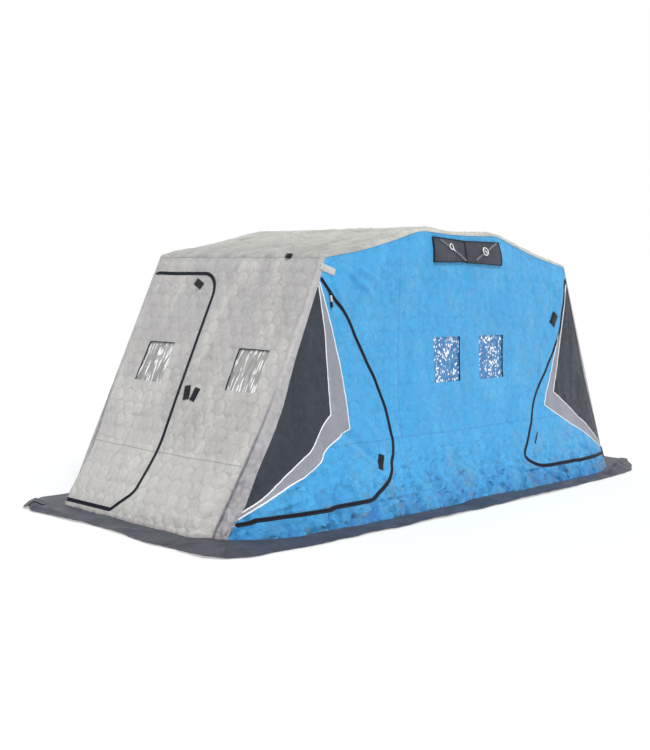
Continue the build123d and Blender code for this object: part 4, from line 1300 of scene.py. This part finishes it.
def window(name, surface, wide, tall, finish, body, nodes, seed, edges):
    """A sheet of vinyl behind an opening between two places across and two up, and a black strip as painted
    shade along its shaded edges.

    It is the cloth's surface set back by its thickness, plus creases that die at the stitching."""

    def creased(u, v, lift=0.0):
        inside = np.minimum(np.minimum(u - wide[0], wide[1] - u), np.minimum(v - tall[0], tall[1] - v))
        bulge = 0.0045 * fade(inside, -0.002, 0.04) * crumple(u / 0.06, v / 0.14, seed)
        return surface(u, v, lift - WINDOW_SET_BACK + bulge)

    u, v = np.meshgrid(spaced([wide[0] - WINDOW_LAP, wide[1] + WINDOW_LAP], 0.009),
                       spaced([tall[0] - WINDOW_LAP, tall[1] + WINDOW_LAP], 0.009))
    cloth(name, creased, [(u, v, None)], body, [finish], nodes, thick=0.0008)
    # Painted shade: a strip of black cloth along the shaded edges of the opening.
    edge = evenly(np.array(edges), 0.01)
    piece(name + "_edge", joined(name + "_edge", [sweep(surface, edge, WINDOW_SHADE_STRIP)]), body,
          [zip_cloth])


def shade_strip_corners(wide, tall, which):
    """The corners of an opening's shaded sides, where a black strip is laid as painted shade: its left and
    top sides, or its right side.
    """
    if which == "right":
        return [(wide[1], tall[1]), (wide[1], tall[0])]
    return [(wide[0], tall[0]), (wide[0], tall[1]), (wide[1], tall[1])]


WINDOW_SHADE_STRIP = [(-0.0018, -0.005), (-0.0018, 0.0012), (0.0018, 0.0012), (0.0018, -0.005)]
blue_vinyl = creased_vinyl("creased_clear_vinyl_over_blue", VINYL_BLUE, "#1f66a8", 0.025, 0.8, 0.0,
                           0.17)
grey_vinyl = creased_vinyl("creased_clear_vinyl_over_grey", VINYL_GREY, "#8f9092", 0.022, 0.10, 0.06,
                           0.24)
for wall_name, wall, nodes in (("front", front_wall, ["front_windows"]),
                               ("back", back_wall, ["back_windows"])):
    for k, centre in enumerate(WINDOW_CENTRES):
        wide = (centre - WINDOW_WIDE / 2, centre + WINDOW_WIDE / 2)
        tall = (WINDOW_LOW, WINDOW_HIGH)
        window(f"{wall_name}_window_{k + 1}", wall, wide, tall, blue_vinyl, "shell",
               nodes if k == 0 else [], 700 + k, shade_strip_corners(wide, tall, "right"))
end_tall = (END_WINDOW_LOW, END_WINDOW_HIGH)
for name, end, wide, body, nodes, seed in (
    ("left_end_wall_window", left_end, END_WALL_WINDOW, "shell", ["left_end_window"], 710),
    ("left_end_door_window_sheet", left_end, END_DOOR_WINDOW, "left_end_door_body",
     ["left_end_door_window"], 711),
    ("right_end_wall_window", right_end, END_WALL_WINDOW, "shell", ["right_end_windows"], 712),
    ("right_end_door_window", right_end, END_DOOR_WINDOW, "shell", [], 713),
):
    window(name, end, wide, end_tall, grey_vinyl, body, nodes, seed,
           shade_strip_corners((wide[1], wide[0]), end_tall, "left"))


# Vent covers. Two flaps of coated black cloth hang over mesh vents under the roof, bound at their
# edges; a webbing strap crosses each one, with a white plastic ring to roll it up by.
VENT_BLACK = "#33363f"
VENT_LEFT = ((-0.328, 1.893), (0.035, 1.876), (0.046, 1.727), (-0.325, 1.717))
VENT_RIGHT = ((0.043, 1.876), (0.474, 1.880), (0.507, 1.712), (0.056, 1.722))
VENT_STRAPS = [[(-0.250, 1.876), (-0.100, 1.804), (0.040, 1.735)], [(0.160, 1.742), (0.440, 1.874)]]
STRAP = [(-0.007, 0.0), (-0.007, 0.0185), (0.007, 0.0185), (0.007, 0.0)]
BINDING = [(-0.0035, -0.002), (-0.0035, 0.0145), (0.003, 0.0145), (0.003, -0.002)]
RING_BAR = [(-0.003, 0.019), (-0.003, 0.025), (0.003, 0.025), (0.003, 0.019)]
RING_WHITE = "#f6f7f9"

# The second colour is painted shade, which the flaps carry from the wall beneath them.
vent_cloth = woven("black_coated_vent_cloth", VENT_BLACK, "#1d1f26", "#454954", crinkle=0.9, rough=0.45,
                   sheen=0.05)
webbing = woven("grey_polyester_webbing", "#6c6d75", "#4d4e55", "#7d7e86", thread=0.0022, crinkle=0.1,
                rough=0.6, sheen=0.1)


def moulded(name, colour, rough):
    """Moulded plastic: a fine grain, and a slightly darker parting band of soft noise."""
    material = bpy.data.materials.new(name)
    material.use_nodes = True
    tree = material.node_tree
    shader = tree.nodes["Principled BSDF"]
    place = add(tree, "TexCoord").outputs["Object"]
    grain = add(tree, "TexNoise", {"Vector": place, "Scale": 900.0, "Detail": 3.0})
    cloud = add(tree, "TexNoise", {"Vector": place, "Scale": 60.0})
    dark = tuple(0.8 * part for part in linear(colour)[:3]) + (1.0,)
    shade = add(tree, "MixRGB", {0: cloud.outputs[0], 1: linear(colour), 2: dark})
    gloss = add(tree, "MapRange", {0: grain.outputs[0], 3: rough - 0.05, 4: rough + 0.1})
    bump = add(tree, "Bump", {"Height": grain.outputs[0], "Strength": 0.2, "Distance": 0.0002})
    tree.links.new(shade.outputs[0], shader.inputs["Base Color"])
    tree.links.new(gloss.outputs[0], shader.inputs["Roughness"])
    tree.links.new(bump.outputs[0], shader.inputs["Normal"])
    return material


def ring_on(surface, centre, radii, turn, wire, lift):
    """A ring lying on a surface: a circle of a wire's radius carried round a turned ellipse."""
    round_it = np.linspace(0, 2 * math.pi, 33)[:-1, None]
    round_wire = np.linspace(0, 2 * math.pi, 11)[None, :-1]
    u = (radii[0] + wire * np.cos(round_wire)) * np.cos(round_it)
    v = (radii[1] + wire * np.cos(round_wire)) * np.sin(round_it)
    x = centre[0] + u * math.cos(turn) - v * math.sin(turn)
    z = centre[1] + u * math.sin(turn) + v * math.cos(turn)
    points, _ = surface(x, z, lift + wire * np.sin(round_wire) + 0 * x)
    index = np.arange(x.size).reshape(x.shape)
    quads = np.stack([index, np.roll(index, -1, axis=0), np.roll(index, (-1, -1), axis=(0, 1)),
                      np.roll(index, -1, axis=1)], axis=-1).reshape(-1, 4)
    flat = np.stack([x.ravel(), z.ravel()], axis=-1)
    points = points.reshape(-1, 3)
    middle = points.mean(axis=0)
    corner = points[quads] - middle
    volume = (corner[:, 0] * np.cross(corner[:, 1], corner[:, 2])).sum()
    return points, (quads if volume > 0 else quads[:, ::-1]), flat


def vent_cover(side_name, surface, node):
    """Two flaps with their binding, straps and rings."""
    bound, straps = [], []
    for k, (flap, strap) in enumerate(zip((VENT_LEFT, VENT_RIGHT), VENT_STRAPS)):
        top_left, top_right, low_right, low_left = (np.array(corner) for corner in flap)

        def hung(u, v, lift=0.0):
            wave = 0.0028 * crumple(u / 0.16, v / 0.09, 750 + 5 * k)
            return surface(u, v, lift + 0.011 + wave)

        right, down = np.meshgrid(spaced([0.0, 1.0], 0.025), spaced([0.0, 1.0], 0.07))
        right, down = right[..., None], down[..., None]
        places = ((top_left * (1 - right) + top_right * right) * (1 - down)
                  + (low_left * (1 - right) + low_right * right) * down)
        cloth(f"{side_name}_vent_flap_{k + 1}", hung, [(places[..., 0], places[..., 1], None)], "shell",
              [vent_cloth], [node] if k == 0 else [], thick=0.0015)
        rim = np.array([*flap, flap[0]])
        bound += [sweep(surface, evenly(rim[i:i + 2], 0.012), BINDING) for i in range(4)]
        straps.append(sweep(surface, evenly(np.array(strap), 0.012), STRAP))
    piece(f"{side_name}_vent_binding", joined(f"{side_name}_vent_binding", bound), "shell",
          [zip_cloth])
    piece(f"{side_name}_vent_straps", joined(f"{side_name}_vent_straps", straps), "shell",
          [webbing])
    rings = [
        ring_on(surface, (-0.136, 1.830), (0.022, 0.018), -0.75, 0.0036, 0.022),
        sweep(surface, evenly(np.array([(-0.120, 1.814), (-0.098, 1.800)]), 0.008), RING_BAR),
        ring_on(surface, (0.276, 1.809), (0.032, 0.026), -0.55, 0.0040, 0.022),
        sweep(surface, evenly(np.array([(0.258, 1.822), (0.294, 1.796)]), 0.008), RING_BAR),
    ]
    piece(f"{side_name}_vent_rings", joined(f"{side_name}_vent_rings", rings), "shell",
          [moulded("white_moulded_nylon", RING_WHITE, 0.4)])


vent_cover("front", front_wall, "front_vent_cover")
vent_cover("back", back_wall, "back_vent_cover")


# Tabs, ties and zip pulls. Pieces of black hook-and-loop tape and webbing sewn on the doors to hold
# them open, a short cord with a ball at each zip's end, and cast sliders with a cord pull.
TAB_LIFT = 0.004
PULL_TOP = (-1.389, 1.490)
PULL_LOW = (-1.372, 1.400)


def tape_on(surface, path, wide, thick=TAB_LIFT):
    """A flat piece of tape along a path, with its edges turned down to the cloth."""
    half = wide / 2
    top = np.linspace(0.0015 - half, half - 0.0015, 2 * max(1, int(wide / 0.02)))
    profile = [(-half, -0.001), (-half, 0.7 * thick), *[(place, thick) for place in top],
               (half, 0.7 * thick), (half, -0.001)]
    return sweep(surface, evenly(np.array(path), 0.01), profile)


def cord_on(surface, path, radius, ball=0.0):
    """A short cord along a path, a hexagon round, with a ball on its end if there is one."""
    turn = np.arange(6) * math.pi / 3
    profile = list(zip(radius * np.cos(turn), radius * (1 + np.sin(turn))))
    parts = [sweep(surface, evenly(np.array(path), 0.006), profile)]
    if ball:
        parts.append(ring_on(surface, path[-1], (0.45 * ball, 0.45 * ball), 0.0, 0.55 * ball, ball))
    return parts


hook_tape = woven("black_hook_and_loop_tape", "#101218", "#08090c", "#1c1f28", thread=0.0014, crinkle=0.2,
                  rough=0.8, sheen=0.1)
small_black = {
    "front_left_door_tab": (front_wall, "front_left_door_body", [tape_on(
        front_wall, [(-0.936, 0.412), (-0.968, 0.317)], 0.048)]),
    "front_right_door_tabs": (front_wall, "front_right_door_body", [
        tape_on(front_wall, [(0.972, 0.402), (0.905, 0.322)], 0.012),
    ]),
    "front_right_wall_tab": (front_wall, "shell", [tape_on(
        front_wall, [(1.312, 1.338), (1.262, 1.248)], 0.085)]),
    "left_end_door_tab": (left_end, "left_end_door_body", [tape_on(
        left_end, [(0.302, 1.700), (0.212, 1.658)], 0.052)]),
    "left_end_wall_straps": (left_end, "shell", [
        tape_on(left_end, [(-0.012, 0.936), (-0.036, 0.840)], 0.055),
        tape_on(left_end, [(-0.112, 0.930), (-0.093, 0.838)], 0.050),
    ]),
    "left_end_knot": (left_end, "shell", [
        tape_on(left_end, [(-0.494, 1.901), (-0.544, 1.901)], 0.030, 0.012),
        tape_on(left_end, [(-0.519, 1.882), (-0.519, 1.912)], 0.024, 0.014),
    ]),
    "left_end_toggle": (left_end, "shell", cord_on(
        left_end, [(0.770, 0.045), (0.785, 0.075), (0.800, 0.105)], 0.004, 0.010)),
    "front_right_hinge_tie": (front_wall, "shell", cord_on(
        front_wall, [(2.085, 0.175), (2.115, 0.130), (2.140, 0.085)], 0.007)),
}
for name, (surface, body, parts) in small_black.items():
    replaced = ["left_end_straps"] if name == "left_end_wall_straps" else []
    piece(name, joined(name, parts), body, [hook_tape], replaced)

grey_tab = tape_on(front_wall, [(-1.475, 1.660), (-1.400, 1.640), (-1.345, 1.622)], 0.046, 0.005)
piece("front_left_corner_tab", joined("front_left_corner_tab", [grey_tab]), "shell",
      [grey_quilt])
cast_slider = moulded("white_cast_slider", "#d8dade", 0.3)
for name, surface, body in (("front_left_zip_pull", front_wall, "front_left_door_body"),
                            ("back_left_zip_pull", back_wall, "shell")):
    piece(name, joined(name, cord_on(surface, [PULL_TOP, PULL_LOW], 0.009)), body,
          [hook_tape])
    bar = tape_on(surface, [(PULL_TOP[0], PULL_TOP[1] - 0.014), (PULL_TOP[0] + 0.008, PULL_TOP[1] - 0.056)],
                  0.010, 0.022)
    piece(name + "_slider", joined(name + "_slider", [bar]), body, [cast_slider])


# Snow skirt. Four flaps of coated black polyester sewn to the foot of the walls, lying loose on
# the ground; snow is shovelled on them to seal the hut.
SKIRT = "#3a3d49"
SKIRT_SHADE = "#20222b"
SKIRT_PALE = "#4b4e5a"
FRONT_REACH = ([-2.60, -2.53, -2.405, -2.249, -1.80, -1.321, -0.442, 0.415, 1.578, 1.897, 2.10, 2.25, 2.42,
                2.60],
               [1.02, 1.128, 1.193, 1.208, 1.239, 1.255, 1.268, 1.266, 1.220, 1.205, 1.16, 1.085, 0.98,
                0.84])
BACK_REACH = ([-2.60, -2.476, -2.29, -2.10, -1.80, -1.30, -0.442, 0.415, 1.578, 2.10, 2.25, 2.42, 2.60],
              [0.82, 0.95, 1.06, 1.05, 1.08, 1.18, 1.25, 1.266, 1.220, 1.16, 1.085, 0.98, 0.84])
END_REACH = ([-1.0, -0.567, 0.0, 0.5, 0.70, 0.85], [2.575, 2.617, 2.570, 2.600, 2.625, 2.56])
SKIRT_FOLDS = [
    (-2.50, -1.12, -2.34, -0.92, 0.022, 0.022),
    (-2.40, -1.18, -2.30, -1.00, 0.014, 0.016),
    (-2.60, 0.70, -2.36, 1.02, 0.040, 0.032),
    (-2.56, 0.30, -2.52, 0.78, 0.030, 0.020),
    (-2.55, -0.10, -2.40, -0.40, 0.020, 0.012),
    (1.70, -1.16, 2.20, -1.06, 0.040, 0.040),
    (2.02, -1.04, 2.34, -0.94, 0.030, 0.045),
    (0.90, -1.18, 1.30, -1.10, 0.025, 0.014),
    (-1.10, -1.20, -0.60, -1.12, 0.022, 0.012),
]

skirt_cloth = woven("black_coated_polyester", SKIRT, SKIRT_SHADE, SKIRT_PALE, thread=0.0012,
                    crinkle=0.8, rough=0.5, sheen=0.08)


def skirt_surface(seed):
    """Loose cloth on the ground: low humps of noise over a flat sheet, never under the ground."""

    def surface(x, y, lift=0.0):
        swell_up = noise(x / 0.32, y / 0.20, seed) + 0.5 * crumple(x / 0.22, y / 0.16, seed + 4)
        height = 0.006 + 0.010 * np.clip(swell_up, 0, None)
        ripple = crumple(x / 0.11, y / 0.11, seed + 9)
        height = height + 0.0020 * (1 + ripple) + np.abs(fold_along(x, y, SKIRT_FOLDS))
        # Painted shade: darker in the ripples' hollows.
        return np.stack([x, y, height + lift], axis=-1), np.clip(0.5 - 0.5 * ripple, 0, 1)

    return surface


def skirt_flap(name, node, side, across_ends, seed, step, reach_of):
    """One flap between the foot of a wall and its wavy outer edge."""
    if across_ends:
        along = spaced([-HALF_WIDTH - 0.01, HALF_WIDTH + 0.01], step)
        inner = HALF_LENGTH + swell(along, 0 * along) / UP_Z - 0.03
        outer = np.interp(along, *reach_of) + 0.010 * noise(along / 0.13, along * 0, seed + 30)
    else:
        along = spaced([-2.60, 2.60], step)
        inner = HALF_WIDTH + flare_at(along, 0 * along) - 0.03
        outer = np.interp(along, *reach_of) + 0.010 * noise(along / 0.13, along * 0, seed + 30)
    share = np.linspace(0, 1, int(0.4 / step))
    reach = inner[:, None] + (outer - inner)[:, None] * share
    run = np.repeat(along[:, None], len(share), axis=1)
    x, y = (side * reach, run) if across_ends else (run, side * reach)
    cloth(name, skirt_surface(seed), [(x, y, None)], "shell", [skirt_cloth], [node],
          thick=0.003)


skirt_flap("skirt_front_cloth", "skirt_front", -1, False, 500, 0.016, FRONT_REACH)
skirt_flap("skirt_back_cloth", "skirt_back", 1, False, 520, 0.02, BACK_REACH)
skirt_flap("skirt_left_cloth", "skirt_left", -1, True, 540, 0.016, END_REACH)
skirt_flap("skirt_right_cloth", "skirt_right", 1, True, 560, 0.02, END_REACH)
